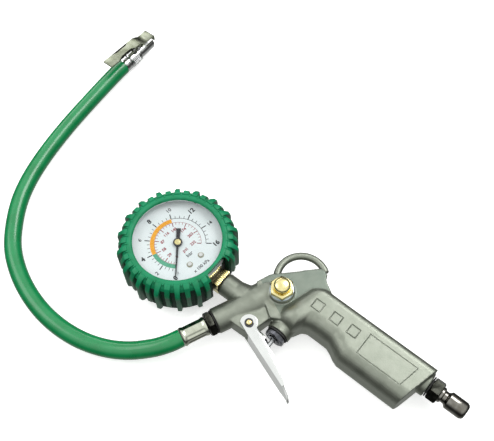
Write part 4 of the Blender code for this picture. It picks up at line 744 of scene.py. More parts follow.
inner = LEVER_HALF - LEVER_SHEET
web_back = WEB_FRONT + LEVER_SHEET
inside = [(-9 * MM, web_back), (LEVER_LENGTH + 2 * MM, web_back),
          (LEVER_LENGTH + 2 * MM, 20 * MM), (-9 * MM, 20 * MM)]
tongue_cut = [(FLANGE_END - 0.5 * MM, LEVER_HALF + 1 * MM),
              (FLANGE_END - 0.5 * MM, LEVER_HALF - 0.1 * MM),
              (FLANGE_END + 2.4 * MM, 5.6 * MM), (LEVER_LENGTH - 2.2 * MM, 3.6 * MM),
              (LEVER_LENGTH - 0.5 * MM, 2.2 * MM), (LEVER_LENGTH + 1 * MM, 0.0),
              (LEVER_LENGTH + 3 * MM, 0.0), (LEVER_LENGTH + 3 * MM, LEVER_HALF + 1 * MM)]
window = [(-9 * MM, -9 * MM), (5.5 * MM, -9 * MM), (5.5 * MM, 2 * MM), (-9 * MM, 2 * MM)]
lever = plate("trigger_channel", lever_side(NEAR_BACK, 0.0, 26.0), 0.0, LEVER_HALF)
combine(lever, [plate("far_half", lever_side(FAR_BACK, 0.4 * MM, 70.0), -LEVER_HALF, 0.0)])
turned = Matrix.Rotation(math.pi / 2, 4, "X")
tongue_cuts = [plate("tongue_near", [(x, y) for x, y in tongue_cut], -20 * MM, 20 * MM, turned),
               plate("tongue_far", [(x, -y) for x, y in tongue_cut][::-1], -20 * MM, 20 * MM,
                     turned)]
pin_hole = lathe("pin_hole", [(0.0, 9 * MM), (2.1 * MM, 9 * MM), (2.1 * MM, -9 * MM),
                              (0.0, -9 * MM)])
combine(lever, [plate("inside", inside, -inner, inner), plate("window", window, -inner, inner),
                pin_hole] + tongue_cuts, "DIFFERENCE")
lever.data.transform(lever_frame)
soften(lever, 0.5 * MM, 4)
dress(lever, CHROME, "trigger", "chrome", "trigger_lever")
pin_top = LEVER_HALF + 1.5 * MM
pin = lathe("pivot_rivet", [
    (0.0, pin_top - 0.9 * MM), (1.5 * MM, pin_top - 0.9 * MM), (1.75 * MM, pin_top - 0.75 * MM),
    (2.3 * MM, pin_top - 0.4 * MM), (2.6 * MM, pin_top - 0.6 * MM),
    (2.8 * MM, LEVER_HALF + 0.3 * MM),
    (1.8 * MM, LEVER_HALF + 0.3 * MM), (1.8 * MM, -LEVER_HALF - 1.4 * MM),
    (1.5 * MM, -LEVER_HALF - 1.6 * MM), (0.0, -LEVER_HALF - 1.6 * MM)], frame_at(PIVOT))
dress(smooth(pin), BLACK_NICKEL, "body", "brass", "trigger_pin")
core = lathe("rivet_core", [
    (0.0, pin_top), (1.0 * MM, pin_top - 0.08 * MM), (1.4 * MM, pin_top - 0.3 * MM),
    (1.45 * MM, pin_top - 1.0 * MM), (0.0, pin_top - 1.0 * MM)], frame_at(PIVOT))
dress(smooth(core), BRASS, "body", "brass")
print("lever faces:", len(lever.data.polygons))

# %% [markdown]
# The bleed valve lets air out of the tyre: a brass nut screwed into the top of the body,
# with a domed brass button over a dark gap, and a blued washer beneath.

# %% Bleed valve
bleed_frame = frame_at(BLEED_AT)
WASHER_LOW = BARREL_ROOT_R + 0.7 * MM
NUT_LOW = WASHER_LOW + 1.3 * MM
NUT_TOP = NUT_LOW + 3.4 * MM
washer = lathe("bleed_washer_disc", [
    (4.4 * MM, WASHER_LOW + 1.0 * MM), (7.2 * MM, WASHER_LOW + 1.0 * MM),
    (7.2 * MM, WASHER_LOW), (4.4 * MM, WASHER_LOW)], bleed_frame)
dress(soften(washer, 0.15 * MM, 2), BLUED_STEEL, "body", "washer_steel", "bleed_washer")
bleed_hexagon = chamfered_nut("bleed_hexagon", 13.0 * MM, NUT_LOW, NUT_TOP, 3.8 * MM,
                              bleed_frame, math.radians(2.5))
bleed_collar = lathe("bleed_collar", [
    (1.5 * MM, NUT_TOP - 0.6 * MM), (3.9 * MM, NUT_TOP - 0.6 * MM), (3.9 * MM, NUT_LOW),
    (4.1 * MM, NUT_LOW), (4.1 * MM, 3.0 * MM), (1.5 * MM, 3.0 * MM)], bleed_frame)
dress(bleed_hexagon, BRASS, "body", "brass")
dress(smooth(bleed_collar), BRASS, "body", "brass", "bleed_nut")
BUTTON_LOW = NUT_TOP + 1.8 * MM
BUTTON_R = 4.9 * MM
dome = [(0.0, BUTTON_LOW + 3.2 * MM)]
for step in range(1, 11):
    angle = math.radians(8.5 * step)
    dome.append((BUTTON_R * math.sin(angle) ** 0.85,
                 BUTTON_LOW + 1.1 * MM + 2.1 * MM * math.cos(angle)))
button = lathe("bleed_dome", dome + [
    (BUTTON_R, BUTTON_LOW + 0.3 * MM), (BUTTON_R - 0.3 * MM, BUTTON_LOW), (1.2 * MM, BUTTON_LOW),
    (1.2 * MM, 3.1 * MM), (0.0, 3.1 * MM)], bleed_frame)
dress(smooth(button, math.radians(50)), BRASS, "bleed", "brass", "bleed_button")
print("button top, mm above the table:", round((BUTTON_LOW + 3.2 * MM + DATUM.z) / MM, 1))

# %% [markdown]
# What repeats round a circle (tread lugs, ribs, knurls) comes from one Geometry
# Nodes tree. It places Count copies of a piece, Step apart from First, leaves out those
# inside a gap, and ends in real geometry with its material set, so it can be exported.

# %% A ring of equal pieces
def ring_tree():
    tree = bpy.data.node_groups.new("ring_of_pieces", "GeometryNodeTree")
    for label, kind in (("Piece", "NodeSocketObject"), ("Count", "NodeSocketInt"),
                        ("First", "NodeSocketFloat"), ("Step", "NodeSocketFloat"),
                        ("Gap Middle", "NodeSocketFloat"), ("Gap Cosine", "NodeSocketFloat"),
                        ("Material", "NodeSocketMaterial")):
        tree.interface.new_socket(label, in_out="INPUT", socket_type=kind)
    tree.interface.new_socket("Geometry", in_out="OUTPUT", socket_type="NodeSocketGeometry")
    nodes, links = tree.nodes, tree.links

    def node(kind, **settings):
        made = nodes.new(kind)
        for key, value in settings.items():
            setattr(made, key, value)
        return made

    source = node("NodeGroupInput")
    points = node("GeometryNodePoints")
    links.new(source.outputs["Count"], points.inputs["Count"])
    turn = node("ShaderNodeMath", operation="MULTIPLY_ADD")
    links.new(node("GeometryNodeInputIndex").outputs[0], turn.inputs[0])
    links.new(source.outputs["Step"], turn.inputs[1])
    links.new(source.outputs["First"], turn.inputs[2])
    off = node("ShaderNodeMath", operation="SUBTRACT")
    links.new(turn.outputs[0], off.inputs[0])
    links.new(source.outputs["Gap Middle"], off.inputs[1])
    cosine = node("ShaderNodeMath", operation="COSINE")
    links.new(off.outputs[0], cosine.inputs[0])
    kept = node("ShaderNodeMath", operation="LESS_THAN")
    links.new(cosine.outputs[0], kept.inputs[0])
    links.new(source.outputs["Gap Cosine"], kept.inputs[1])
    angles = node("ShaderNodeCombineXYZ")
    links.new(turn.outputs[0], angles.inputs["Z"])
    euler = node("FunctionNodeEulerToRotation")
    links.new(angles.outputs[0], euler.inputs[0])
    piece = node("GeometryNodeObjectInfo")
    links.new(source.outputs["Piece"], piece.inputs["Object"])
    placed = node("GeometryNodeInstanceOnPoints")
    links.new(points.outputs[0], placed.inputs["Points"])
    links.new(kept.outputs[0], placed.inputs["Selection"])
    links.new(piece.outputs["Geometry"], placed.inputs["Instance"])
    links.new(euler.outputs[0], placed.inputs["Rotation"])
    real = node("GeometryNodeRealizeInstances")
    links.new(placed.outputs[0], real.inputs[0])
    coat = node("GeometryNodeSetMaterial")
    links.new(real.outputs[0], coat.inputs["Geometry"])
    links.new(source.outputs["Material"], coat.inputs["Material"])
    links.new(coat.outputs[0], node("NodeGroupOutput").inputs[0])
    return tree


RING = ring_tree()


def ring_of(name, piece, count, first, step, place, material, gap_middle=0.0, gap_cosine=2.0):
    """Copies of a piece modelled at angle 0; angles in degrees; the piece is used up."""
    holder = add_object(name, bpy.data.meshes.new(name))
    modifier = holder.modifiers.new("ring", "NODES")
    modifier.node_group = RING
    values = {"Piece": piece, "Count": count, "First": math.radians(first),
              "Step": math.radians(step), "Gap Middle": math.radians(gap_middle),
              "Gap Cosine": gap_cosine, "Material": material}
    for item in RING.interface.items_tree:
        if item.in_out == "INPUT":
            modifier[item.identifier] = values[item.name]
    bake(holder)
    bpy.data.objects.remove(piece, do_unlink=True)
    holder.data.transform(place)
    return smooth(holder)


print("ring tree nodes:", len(RING.nodes))

# %% [markdown]
# The gauge sits in a rubber boot moulded like a tractor tyre. Its wall is turned as one
# ring; the lugs run down the side and fold over the shoulder, long and short by turns,
# and fine ribs cross the shoulder. A notch leaves room for the brass socket. The wall and
# the lower sides of the lugs get painted shade: darker copies of the green rubber, chosen
# face by face from their height.

# %% Rubber boot
CASE_R = 31.2 * MM
WALL_R = 34.3 * MM
LUG_R = 37.5 * MM
BOOT_TOP = 17.8 * MM
WINDOW_R = 27.2 * MM
LUGS = 36
STEM = -90.0            # direction of the stem on the gauge, degrees
STEM_GAP = math.cos(math.radians(14.0))
# painted shade: the boot wall below the first height and the lugs below the second are coloured
# darker
WALL_PAINTED_SHADE_TOP = DATUM.z + 13.6 * MM
LUG_PAINTED_SHADE_TOP = DATUM.z + 9.5 * MM
shoulder = arc((28.9 * MM, BOOT_TOP - 5.4 * MM), 5.4 * MM, 80.0, 8.0, 9)
foot = arc((WALL_R - 4.0 * MM, -9.0 * MM), 4.0 * MM, -8.0, -82.0, 6)
boot = lathe("boot_wall", [
    (WINDOW_R, 16.1 * MM), (WINDOW_R + 0.15 * MM, BOOT_TOP - 0.9 * MM),
    (WINDOW_R + 0.7 * MM, BOOT_TOP - 0.3 * MM), (WINDOW_R + 1.5 * MM, BOOT_TOP)] + shoulder + [
    (WALL_R, 6.0 * MM)] + foot + [
    (22 * MM, -13.0 * MM), (22 * MM, -10.9 * MM), (31.5 * MM, -10.9 * MM),
    (31.5 * MM, 16.1 * MM)], steps=144)
notch_corners = ((-8.0, -45.0, 0.0), (8.0, -45.0, 0.0), (8.0, -29.5, 1.5), (-8.0, -29.5, 1.5))
notch = plate("notch", rounded([(x * MM, y * MM, r * MM) for x, y, r in notch_corners]),
              -22 * MM, 22 * MM)
combine(boot, [notch], "DIFFERENCE")
boot.data.transform(GAUGE)
soften(boot, 0.3 * MM, 2, 50.0)
dress(boot, BOOT_RUBBER, "body", "green_boot", "gauge_boot")
# painted shade: the wall's faces below this height get the near-black green
boot.data.materials.append(BOOT_WALL_PAINTED_SHADE)
for face in boot.data.polygons:
    if face.center.z < WALL_PAINTED_SHADE_TOP:
        face.material_index = 1


def tread_lug(name, reach, low, high, width):
    """A bar in the tyre's cross-section, folded over the shoulder and narrower outside."""
    outline = [(29.8 * MM, BOOT_TOP - 1.0 * MM), (30.8 * MM, BOOT_TOP + 0.45 * MM),
               (33.8 * MM, BOOT_TOP - 0.7 * MM), (reach - 0.5 * MM, high),
               (reach, high - 2.6 * MM), (reach, low + 2.0 * MM), (reach - 1.6 * MM, low),
               (33.2 * MM, low - 0.6 * MM), (33.2 * MM, high - 3.0 * MM)]
    lug = plate(name, outline, -width / 2, width / 2)
    lug.data.transform(Matrix.Rotation(math.pi / 2, 4, "X"))
    for vertex in lug.data.vertices:
        out = (vertex.co.x - 33.0 * MM) / (LUG_R - 33.0 * MM)
        vertex.co.y *= 1.0 - 0.28 * max(out, -0.6)
    rounding = lug.modifiers.new("rounding", "BEVEL")
    rounding.width = 0.35 * MM
    rounding.segments = 2
    bake(lug)
    return lug


for name, reach, low, high, phase in (("long_lugs", LUG_R, -9.0 * MM, 13.4 * MM, 0.0),
                                      ("short_lugs", LUG_R - 0.9 * MM, -5.5 * MM, 12.6 * MM, 10.0)):
    lugs = ring_of(name, tread_lug("lug", reach, low, high, 3.5 * MM), LUGS // 2, phase, 20.0,
                   GAUGE, BOOT_RUBBER, STEM, STEM_GAP)
    dress(lugs, BOOT_RUBBER, "body", "green_boot")
    # painted shade: lug faces below this height get the darker green
    lugs.data.materials.append(BOOT_LUG_PAINTED_SHADE)
    for face in lugs.data.polygons:
        if face.center.z < LUG_PAINTED_SHADE_TOP:
            face.material_index = 1
rib = plate("rib", [(29.2 * MM, BOOT_TOP - 1.0 * MM), (29.5 * MM, BOOT_TOP + 0.2 * MM),
                    (31.5 * MM, BOOT_TOP + 0.15 * MM), (32.5 * MM, BOOT_TOP - 1.6 * MM)],
            -0.35 * MM, 0.35 * MM)
rib.data.transform(Matrix.Rotation(math.pi / 2, 4, "X"))
ribs = ring_of("shoulder_ribs", rib, LUGS, 5.0, 10.0, GAUGE, BOOT_RUBBER, STEM, STEM_GAP)
dress(ribs, BOOT_RUBBER, "body", "green_boot")
print("boot faces:", len(boot.data.polygons))

# %% [markdown]
# Inside the boot is a drawn steel case. Only its back shows, through the boot's opening.
# The brass socket ties it to the branch; its outer face is ridged so that it can be held.

# %% Case and socket
case = lathe("drawn_case", [
    (0.0, -9.8 * MM), (29.2 * MM, -9.8 * MM), (30.4 * MM, -8.6 * MM), (30.4 * MM, 11.9 * MM),
    (CASE_R, 11.9 * MM), (CASE_R, -9.4 * MM), (CASE_R - 0.4 * MM, -10.2 * MM),
    (CASE_R - 1.2 * MM, -10.6 * MM), (16 * MM, -10.6 * MM), (15 * MM, -10.2 * MM),
    (0.0, -10.2 * MM)], GAUGE, 96)
dress(smooth(case), CASE_BLACK, "body", "case_black", "gauge_case")
SOCKET_OUT = -35.7 * MM
socket = plate("brass_socket", [(-6 * MM, SOCKET_OUT), (6 * MM, SOCKET_OUT),
                                (6 * MM, -21.7 * MM), (-6 * MM, -21.7 * MM)], -6 * MM, 4.0 * MM)
upper = plate("socket_upper", [(-6 * MM, SOCKET_OUT), (6 * MM, SOCKET_OUT),
                               (6 * MM, -32.0 * MM), (-6 * MM, -32.0 * MM)], 3.0 * MM, 6.0 * MM)
combine(socket, [upper])
socket.data.transform(GAUGE)
soften(socket, 0.35 * MM, 2)
dress(socket, BRASS, "body", "brass", "gauge_socket")
RIDGES = 9
ridges = []
for index in range(RIDGES):
    x = (index - (RIDGES - 1) / 2) * 1.25 * MM
    ridge = plate("ridge", [(x - 0.4 * MM, SOCKET_OUT - 0.1 * MM),
                            (x + 0.4 * MM, SOCKET_OUT - 0.1 * MM),
                            (x + 0.4 * MM, -32.2 * MM), (x - 0.4 * MM, -32.2 * MM)],
                  5.8 * MM, 6.4 * MM, GAUGE)
    ridges.append(ridge)
combine(ridges[0], ridges[1:])
soften(ridges[0], 0.15 * MM, 2)
ridges[0].name = "socket_ridges"
dress(ridges[0], BRASS, "body", "brass")

# %% [markdown]
# The dial is a printed disc. Its marks are laid on as very thin pieces: two coloured
# bands, an outer black scale and an inner red one, numbers, and rings round the screws. The
# scale's steps widen a little towards the top, as a simple spring tube gives them.

# %% Dial and its print
DIAL_TOP = 11.0 * MM
SCALE_ZERO = -135.0
SCALE_SWEEP = 270.0
FULL_SCALE = 16.0
DIAL = GAUGE @ Matrix.Rotation(math.radians(-8.0), 4, "Z")
dial = lathe("dial_disc", [
    (0.0, DIAL_TOP), (28.9 * MM, DIAL_TOP), (29.9 * MM, DIAL_TOP + 0.5 * MM),
    (30.0 * MM, 10.4 * MM), (0.0, 10.4 * MM)], GAUGE, 96)
dress(smooth(dial), DIAL_WHITE, "body", "dial_white", "gauge_dial")


def scale_angle(value):
    """Where a reading stands on the dial, in degrees anticlockwise from the dial's X."""
    return SCALE_ZERO - SCALE_SWEEP * (value / FULL_SCALE) ** 1.08


def printed(obj, ink, turned=True):
    if turned:
        obj.data.transform(DIAL)
    return dress(obj, ink, "body", "dial_white")


def band(name, low, high, inner_r, outer_r, ink, height=0.03 * MM):
    steps = max(int(abs(scale_angle(high) - scale_angle(low)) / 4), 2)
    outline = arc((0, 0), outer_r, scale_angle(low), scale_angle(high), steps)
    outline += arc((0, 0), inner_r, scale_angle(high), scale_angle(low), steps)
    return printed(plate(name, outline, DIAL_TOP, DIAL_TOP + height), ink)


def marks(name, values, inner_r, outer_r, width, ink):
    """Scale marks at these readings, joined into one piece of print."""
    bm = bmesh.new()
    for value in values:
        turn = Matrix.Rotation(math.radians(scale_angle(value)), 4, "Z")
        bmesh.ops.create_cube(bm, size=1.0, matrix=turn @ Matrix.Translation(
            ((inner_r + outer_r) / 2, 0.0, DIAL_TOP + 0.03 * MM)) @ Matrix.Diagonal(
                (outer_r - inner_r, width, 0.05 * MM, 1.0)))
    return printed(from_bmesh(name, bm), ink)


def word(name, text, size, place, ink, bold=0.0):
    """Printed characters, centred on a place on the dial."""
    font = bpy.data.curves.new(name, "FONT")
    font.body = text
    font.size = size
    font.align_x = "CENTER"
    font.align_y = "CENTER"
    font.extrude = 0.02 * MM
    font.offset = bold
    font.resolution_u = 3
    letters = add_object(name, font)
    graph = bpy.context.evaluated_depsgraph_get()
    mesh = bpy.data.meshes.new_from_object(letters.evaluated_get(graph))
    bpy.data.objects.remove(letters, do_unlink=True)
    mesh.transform(Matrix.Translation((0, 0, DIAL_TOP + 0.03 * MM)))
    obj = add_object(name, mesh)
    obj.data.transform(place)
    return obj


def number(value, text, radius, size, ink, bold):
    """A number on the scale, standing upright for a reader below the dial."""
    angle = math.radians(scale_angle(value))
    spot = Matrix.Translation((radius * math.cos(angle), radius * math.sin(angle), 0.0))
    return printed(word("number_" + text + "_" + str(round(radius / MM)), text, size, spot, ink,
                        bold), ink)


band("green_band", 0.0, 4.0, 14.5 * MM, 17.1 * MM, INK_GREEN)
band("orange_band", 4.0, 10.0, 14.5 * MM, 17.1 * MM, INK_ORANGE)
band("outer_line", 10.0, 16.0, 17.0 * MM, 17.3 * MM, INK_BLACK)
band("inner_line", 0.0, 16.0, 14.2 * MM, 14.4 * MM, INK_RED)
marks("outer_long_marks", range(0, 17, 2), 17.3 * MM, 20.6 * MM, 0.60 * MM, INK_BLACK)
marks("outer_short_marks", [v + 0.5 for v in range(16)] + list(range(1, 16, 2)),
      17.3 * MM, 18.9 * MM, 0.32 * MM, INK_BLACK)
marks("inner_long_marks", [2.0 * v for v in range(9)], 11.6 * MM, 14.3 * MM, 0.48 * MM, INK_RED)
marks("inner_short_marks", [0.5 * v for v in range(33)], 12.8 * MM, 14.3 * MM, 0.26 * MM,
      INK_RED)
for value in range(0, 17, 2):
    main = value % 4 == 0
    number(float(value), str(value), 23.4 * MM, (4.2 if main else 3.4) * MM, INK_BLACK,
           (0.16 if main else 0.06) * MM)
for value in range(0, 17, 2):
    number(float(value), str(round(value * 14.5)), 9.3 * MM, 2.6 * MM, INK_RED, 0.08 * MM)
for text, x, y, size, ink, turn in (("bar", 0.0, -10.6, 3.4, INK_BLACK, 0.0),
                                    ("psi", 0.0, -6.6, 3.2, INK_RED, 0.0),
                                    ("x 100 kPa", 0.0, -21.4, 2.9, INK_BLACK, 0.0)):
    spot = Matrix.Translation((x * MM, y * MM, 0.0)) @ Matrix.Rotation(math.radians(turn), 4, "Z")
    printed(word("unit_" + text.split()[0], text, size * MM, spot, ink, 0.04 * MM), ink)
for side in (-1, 1):
    rim = arc((side * 4.5 * MM, -15.8 * MM), 1.95 * MM, 0.0, 360.0, 28)[:-1]
    printed(plate("screw_rim", rim, DIAL_TOP, DIAL_TOP + 0.04 * MM), INK_GREY)
print("dial printed up to", FULL_SCALE)

# %% [markdown]
# The pointer is a thin painted plate: a broad tail behind the hub to balance it and a
# needle that narrows to its tip. It stands over the dial on the pinion's arbor. The lens
# is a shallow dome of clear plastic, kept thin-looking so that the print stays bright.

# %% Pointer and lens
pointer_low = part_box("gauge_pointer")[0]
POINTER_Z = pointer_low.z - DATUM.z
zero = DIAL @ Matrix.Rotation(math.radians(SCALE_ZERO), 4, "Z")
needle = plate("needle", [
    (-9.6 * MM, -1.45 * MM), (-9.6 * MM, 1.45 * MM), (-2.4 * MM, 1.0 * MM), (2.0 * MM, 0.75 * MM),
    (24.2 * MM, 0.22 * MM), (24.6 * MM, 0.0), (24.2 * MM, -0.22 * MM), (2.0 * MM, -0.75 * MM),
    (-2.4 * MM, -1.0 * MM)], POINTER_Z + 0.1 * MM, POINTER_Z + 0.5 * MM, zero)
soften(needle, 0.1 * MM, 2)
dress(needle, INK_BLACK, "pointer", "pointer_black", "gauge_pointer")
hub = lathe("pointer_hub", [
    (0.0, POINTER_Z + 0.9 * MM), (2.1 * MM, POINTER_Z + 0.9 * MM),
    (2.2 * MM, POINTER_Z + 1.05 * MM),
    (2.8 * MM, POINTER_Z + 0.9 * MM), (2.9 * MM, POINTER_Z + 0.1 * MM),
    (0.0, POINTER_Z + 0.1 * MM)], GAUGE)
dress(smooth(hub), CASE_BLACK, "pointer", "pointer_black")
cap = lathe("pointer_cap", [
    (0.0, POINTER_Z + 1.1 * MM), (1.2 * MM, POINTER_Z + 1.06 * MM),
    (1.9 * MM, POINTER_Z + 0.96 * MM), (1.9 * MM, POINTER_Z + 0.85 * MM),
    (0.0, POINTER_Z + 0.85 * MM)], GAUGE)
dress(smooth(cap), BRASS, "pointer", "brass")
lens = lathe("domed_lens", [
    (0.0, 14.8 * MM), (12 * MM, 14.75 * MM), (22 * MM, 14.6 * MM), (29.0 * MM, 14.4 * MM),
    (29.2 * MM, 14.0 * MM), (29.0 * MM, 13.4 * MM), (0.0, 13.5 * MM)], GAUGE, 96)
dress(smooth(lens), LENS_CLEAR, "body", "lens", "gauge_lens")
print("pointer lies", round(POINTER_Z / MM, 1), "mm above the mid plane")

# %% [markdown]
# The hose end is crimped: a ferrule pressed flat along its length in many places, so it
# grips the rubber. It is turned as a sleeve, then its middle is pressed in by a wave.

# %% Ferrule and hose nut
hose_frame = frame_at((0, 0, 0), -BARREL_DIR)
NUT_END = 4.3 * MM
FERRULE_LOW = NUT_END + 0.3 * MM
FERRULE_HIGH = FERRULE_LOW + 16.4 * MM
FERRULE_R = 5.9 * MM
CRIMPS = 10
crimp_steps = 26
sleeve = [(3.4 * MM, FERRULE_HIGH)]
for step in range(crimp_steps + 1):
    share = step / crimp_steps
    end_round = 0.5 * MM * max(0.0, abs(2 * share - 1) - 0.94) / 0.06
    sleeve.append((FERRULE_R - end_round, FERRULE_HIGH - share * (FERRULE_HIGH - FERRULE_LOW)))
sleeve.append((3.4 * MM, FERRULE_LOW))
ferrule = lathe("crimped_ferrule", sleeve, steps=CRIMPS * 12)
for vertex in ferrule.data.vertices:
    share = (vertex.co.z - FERRULE_LOW) / (FERRULE_HIGH - FERRULE_LOW)
    radius = math.hypot(vertex.co.x, vertex.co.y)
    pressed = min(1.0, max(0.0, (0.5 - abs(share - 0.5) - 0.10) / 0.06))
    if radius > 4.5 * MM:
        wave = 0.5 + 0.5 * math.cos(CRIMPS * math.atan2(vertex.co.y, vertex.co.x))
        factor = 1.0 - pressed * (0.05 + 0.05 * wave)
        vertex.co.x *= factor
        vertex.co.y *= factor
ferrule.data.transform(hose_frame)
dress(smooth(ferrule), FERRULE_PLATE, "body", "chrome", "hose_ferrule")
hose_nut = chamfered_nut("hose_hexagon", 13.6 * MM, 0.3 * MM, NUT_END, 4.3 * MM, hose_frame,
                         math.radians(30))
dress(hose_nut, BLACK_OXIDE, "body", "dark_nickel")
hose_shank = lathe("hose_shank", [
    (1.9 * MM, 19.6 * MM), (2.6 * MM, 19.6 * MM), (2.9 * MM, 7.0 * MM),
    (2.9 * MM, NUT_END - 0.2 * MM),
    (4.4 * MM, NUT_END - 0.2 * MM), (4.4 * MM, -9.5 * MM), (1.9 * MM, -9.5 * MM)], hose_frame)
dress(smooth(hose_shank), BLACK_NICKEL, "body", "dark_nickel", "hose_nut")

# %% [markdown]
# The chuck clips on to a tyre's valve. It is a nickel plated body with a groove and a
# knurled grip, a collar over the hose, and a bent clip: a thumb pad at the back, two ears
# on a pin, and a jaw that hooks over the mouth.

# %% Chuck body
CHUCK_ROLL = 0.0
CHUCK_BASE = middle("chuck_collar") - CHUCK_DIR * 2.5 * MM
chuck_round = frame_at(CHUCK_BASE, CHUCK_DIR, Matrix())
chuck_frame = (Matrix.Translation(CHUCK_BASE) @ Matrix.Rotation(CHUCK_ANGLE, 4, "Z")
               @ Matrix.Rotation(CHUCK_ROLL, 4, "X"))
BODY_R, NOSE, LENGTH, BORE_R = 5.8 * MM, 5.0 * MM, 30.0 * MM, 4.1 * MM
GROOVE = 15.4 * MM
collar = lathe("chuck_collar_ring", [
    (2.6 * MM, 5.0 * MM), (5.1 * MM, 5.0 * MM), (5.5 * MM, 4.6 * MM), (5.5 * MM, 3.4 * MM),
    (5.2 * MM, 3.1 * MM), (5.2 * MM, 2.7 * MM), (5.5 * MM, 2.4 * MM), (5.5 * MM, 0.6 * MM),
    (5.1 * MM, 0.0), (2.6 * MM, 0.0)], chuck_round)
dress(smooth(collar), CHROME, "body", "chrome", "chuck_collar")
chuck_body = lathe("chuck_barrel", [
    (BORE_R, LENGTH), (NOSE - 0.7 * MM, LENGTH), (NOSE, LENGTH - 0.9 * MM),
    (NOSE, GROOVE + 1.6 * MM), (NOSE - 0.5 * MM, GROOVE + 1.3 * MM),
    (NOSE - 0.5 * MM, GROOVE + 0.5 * MM), (BODY_R - 0.3 * MM, GROOVE + 0.2 * MM),
    (BODY_R, GROOVE - 0.2 * MM), (BODY_R, 6.1 * MM), (BODY_R - 0.7 * MM, 5.3 * MM),
    (1.6 * MM, 5.3 * MM), (1.6 * MM, 18 * MM), (BORE_R, 18 * MM)], chuck_round)
PIVOT_U = 14.0 * MM
PIVOT_UP = 9.1 * MM
lug = plate("lug", [(PIVOT_U - 1.8 * MM, 4.4 * MM), (PIVOT_U + 1.8 * MM, 4.4 * MM)]
            + arc((PIVOT_U, PIVOT_UP - 0.3 * MM), 1.8 * MM, 0.0, 180.0, 10), -1.5 * MM, 1.5 * MM,
            chuck_frame @ Matrix.Rotation(math.pi / 2, 4, "X"))
slot = plate("slot", [(LENGTH - 7.7 * MM, -4.8 * MM), (LENGTH + 1.3 * MM, -4.8 * MM),
                      (LENGTH + 1.3 * MM, 4.8 * MM), (LENGTH - 7.7 * MM, 4.8 * MM)],
             3.1 * MM, 9.1 * MM, chuck_frame)
clip_pin_axis = (chuck_frame @ Matrix.Rotation(math.pi / 2, 4, "X")
                 @ Matrix.Translation((PIVOT_U, PIVOT_UP, 0.0)))
pin_room = lathe("pin_room", [(0.0, 8 * MM), (1.25 * MM, 8 * MM), (1.25 * MM, -8 * MM),
                              (0.0, -8 * MM)], clip_pin_axis)
combine(chuck_body, [lug])
combine(chuck_body, [slot, pin_room], "DIFFERENCE")
soften(chuck_body, 0.2 * MM, 2)
dress(chuck_body, CHROME, "body", "chrome", "chuck_body")
knurl = plate("knurl", [(-13.0 * MM, -0.28 * MM), (-7.0 * MM, -0.28 * MM),
                        (-7.0 * MM, 0.28 * MM), (-13.0 * MM, 0.28 * MM)],
              BODY_R - 0.2 * MM, BODY_R + 0.15 * MM)
knurl.data.transform(Matrix.Rotation(-math.pi / 2, 4, "Y") @ Matrix.Rotation(math.pi, 4, "Z"))
KNURLS = 40
knurls = ring_of("grip_knurls", knurl, KNURLS, 0.0, 360.0 / KNURLS, chuck_round, WORN_STEEL,
                 180.0, math.cos(math.radians(24.0)))
print("knurl box:", [round(v / MM, 1) for v in knurls.bound_box[0]],
      [round(v / MM, 1) for v in knurls.bound_box[6]])
dress(knurls, WORN_STEEL, "body", "chrome")

# %% Chuck clip
CLIP_STEEL = finish_of("clip_steel", (0.27, 0.29, 0.21), (0.38, 0.40, 0.32), 0.28,
                       metallic=1.0, grain=240.0, bump=0.05)
CLIP_HALF = 4.0 * MM
CLIP_SHEET = 1.0 * MM
clip_top = PIVOT_UP + 3.0 * MM
clip_line = [(-13.5, 14.8), (-10.0, 14.4), (-6.0, 13.8), (-1.0, 13.5)]
clip_line += [(4.0, clip_top / MM + 1.1), (8.0, clip_top / MM + 0.6), (11.5, clip_top / MM - 0.1),
              (17.0, clip_top / MM - 0.7), (20.0, 9.6), (22.0, 8.1), (26.0, 7.6), (30.2, 7.4)]
jaw_tip = (LENGTH / MM + 1.0, NOSE / MM - 2.3)
clip_line += arc((29.9, 6.4), 1.0, 70.0, 0.0, 4) + [jaw_tip]


def along_line(points, thickness):
    """The outline of a sheet bent along these points."""
    left, right = [], []
    for index, (x, y) in enumerate(points):
        before = Vector(points[max(index - 1, 0)])
        after = Vector(points[min(index + 1, len(points) - 1)])
        side = (after - before).normalized()
        normal = Vector((-side.y, side.x)) * thickness / 2
        left.append((x + normal.x, y + normal.y))
        right.append((x - normal.x, y - normal.y))
    return left + right[::-1]


clip_stand = chuck_frame @ Matrix.Rotation(math.pi / 2, 4, "X")
clip_outline = [(x * MM, y * MM) for x, y in along_line(clip_line, CLIP_SHEET / MM)]
clip = plate("bent_clip", clip_outline, -CLIP_HALF, CLIP_HALF)
ear = [(PIVOT_U - 2.4 * MM, clip_top - 0.3 * MM)]
ear += arc((PIVOT_U, PIVOT_UP), 2.4 * MM, 180.0, 360.0, 14)
ear += [(PIVOT_U + 2.4 * MM, clip_top - 0.9 * MM)]
ears = [plate("ear", ear, CLIP_HALF - CLIP_SHEET, CLIP_HALF),
        plate("ear", ear, -CLIP_HALF, -CLIP_HALF + CLIP_SHEET)]
combine(clip, ears)
ear_hole = lathe("ear_hole", [(0.0, 8 * MM), (1.25 * MM, 8 * MM), (1.25 * MM, -8 * MM),
                              (0.0, -8 * MM)],
                 Matrix.Translation((PIVOT_U, PIVOT_UP, 0.0)))
combine(clip, [ear_hole], "DIFFERENCE")
for vertex in clip.data.vertices:
    along = vertex.co.x / MM
    narrow = min(1.0, max(0.0, (along + 5.0) / 4.0)) * min(1.0, max(0.0, (11.0 - along) / 3.0))
    vertex.co.z *= 1.0 - 0.42 * narrow
clip.data.transform(clip_stand)
soften(clip, 0.22 * MM, 3)
dress(clip, CLIP_STEEL, "clip", "chrome", "chuck_clip")
print("clip faces:", len(clip.data.polygons))

# %% [markdown]
# The CAD pieces that are kept as they are get the same finishes: the small screws, the
# seals, the springs and the works of the gauge, which are mostly out of sight.

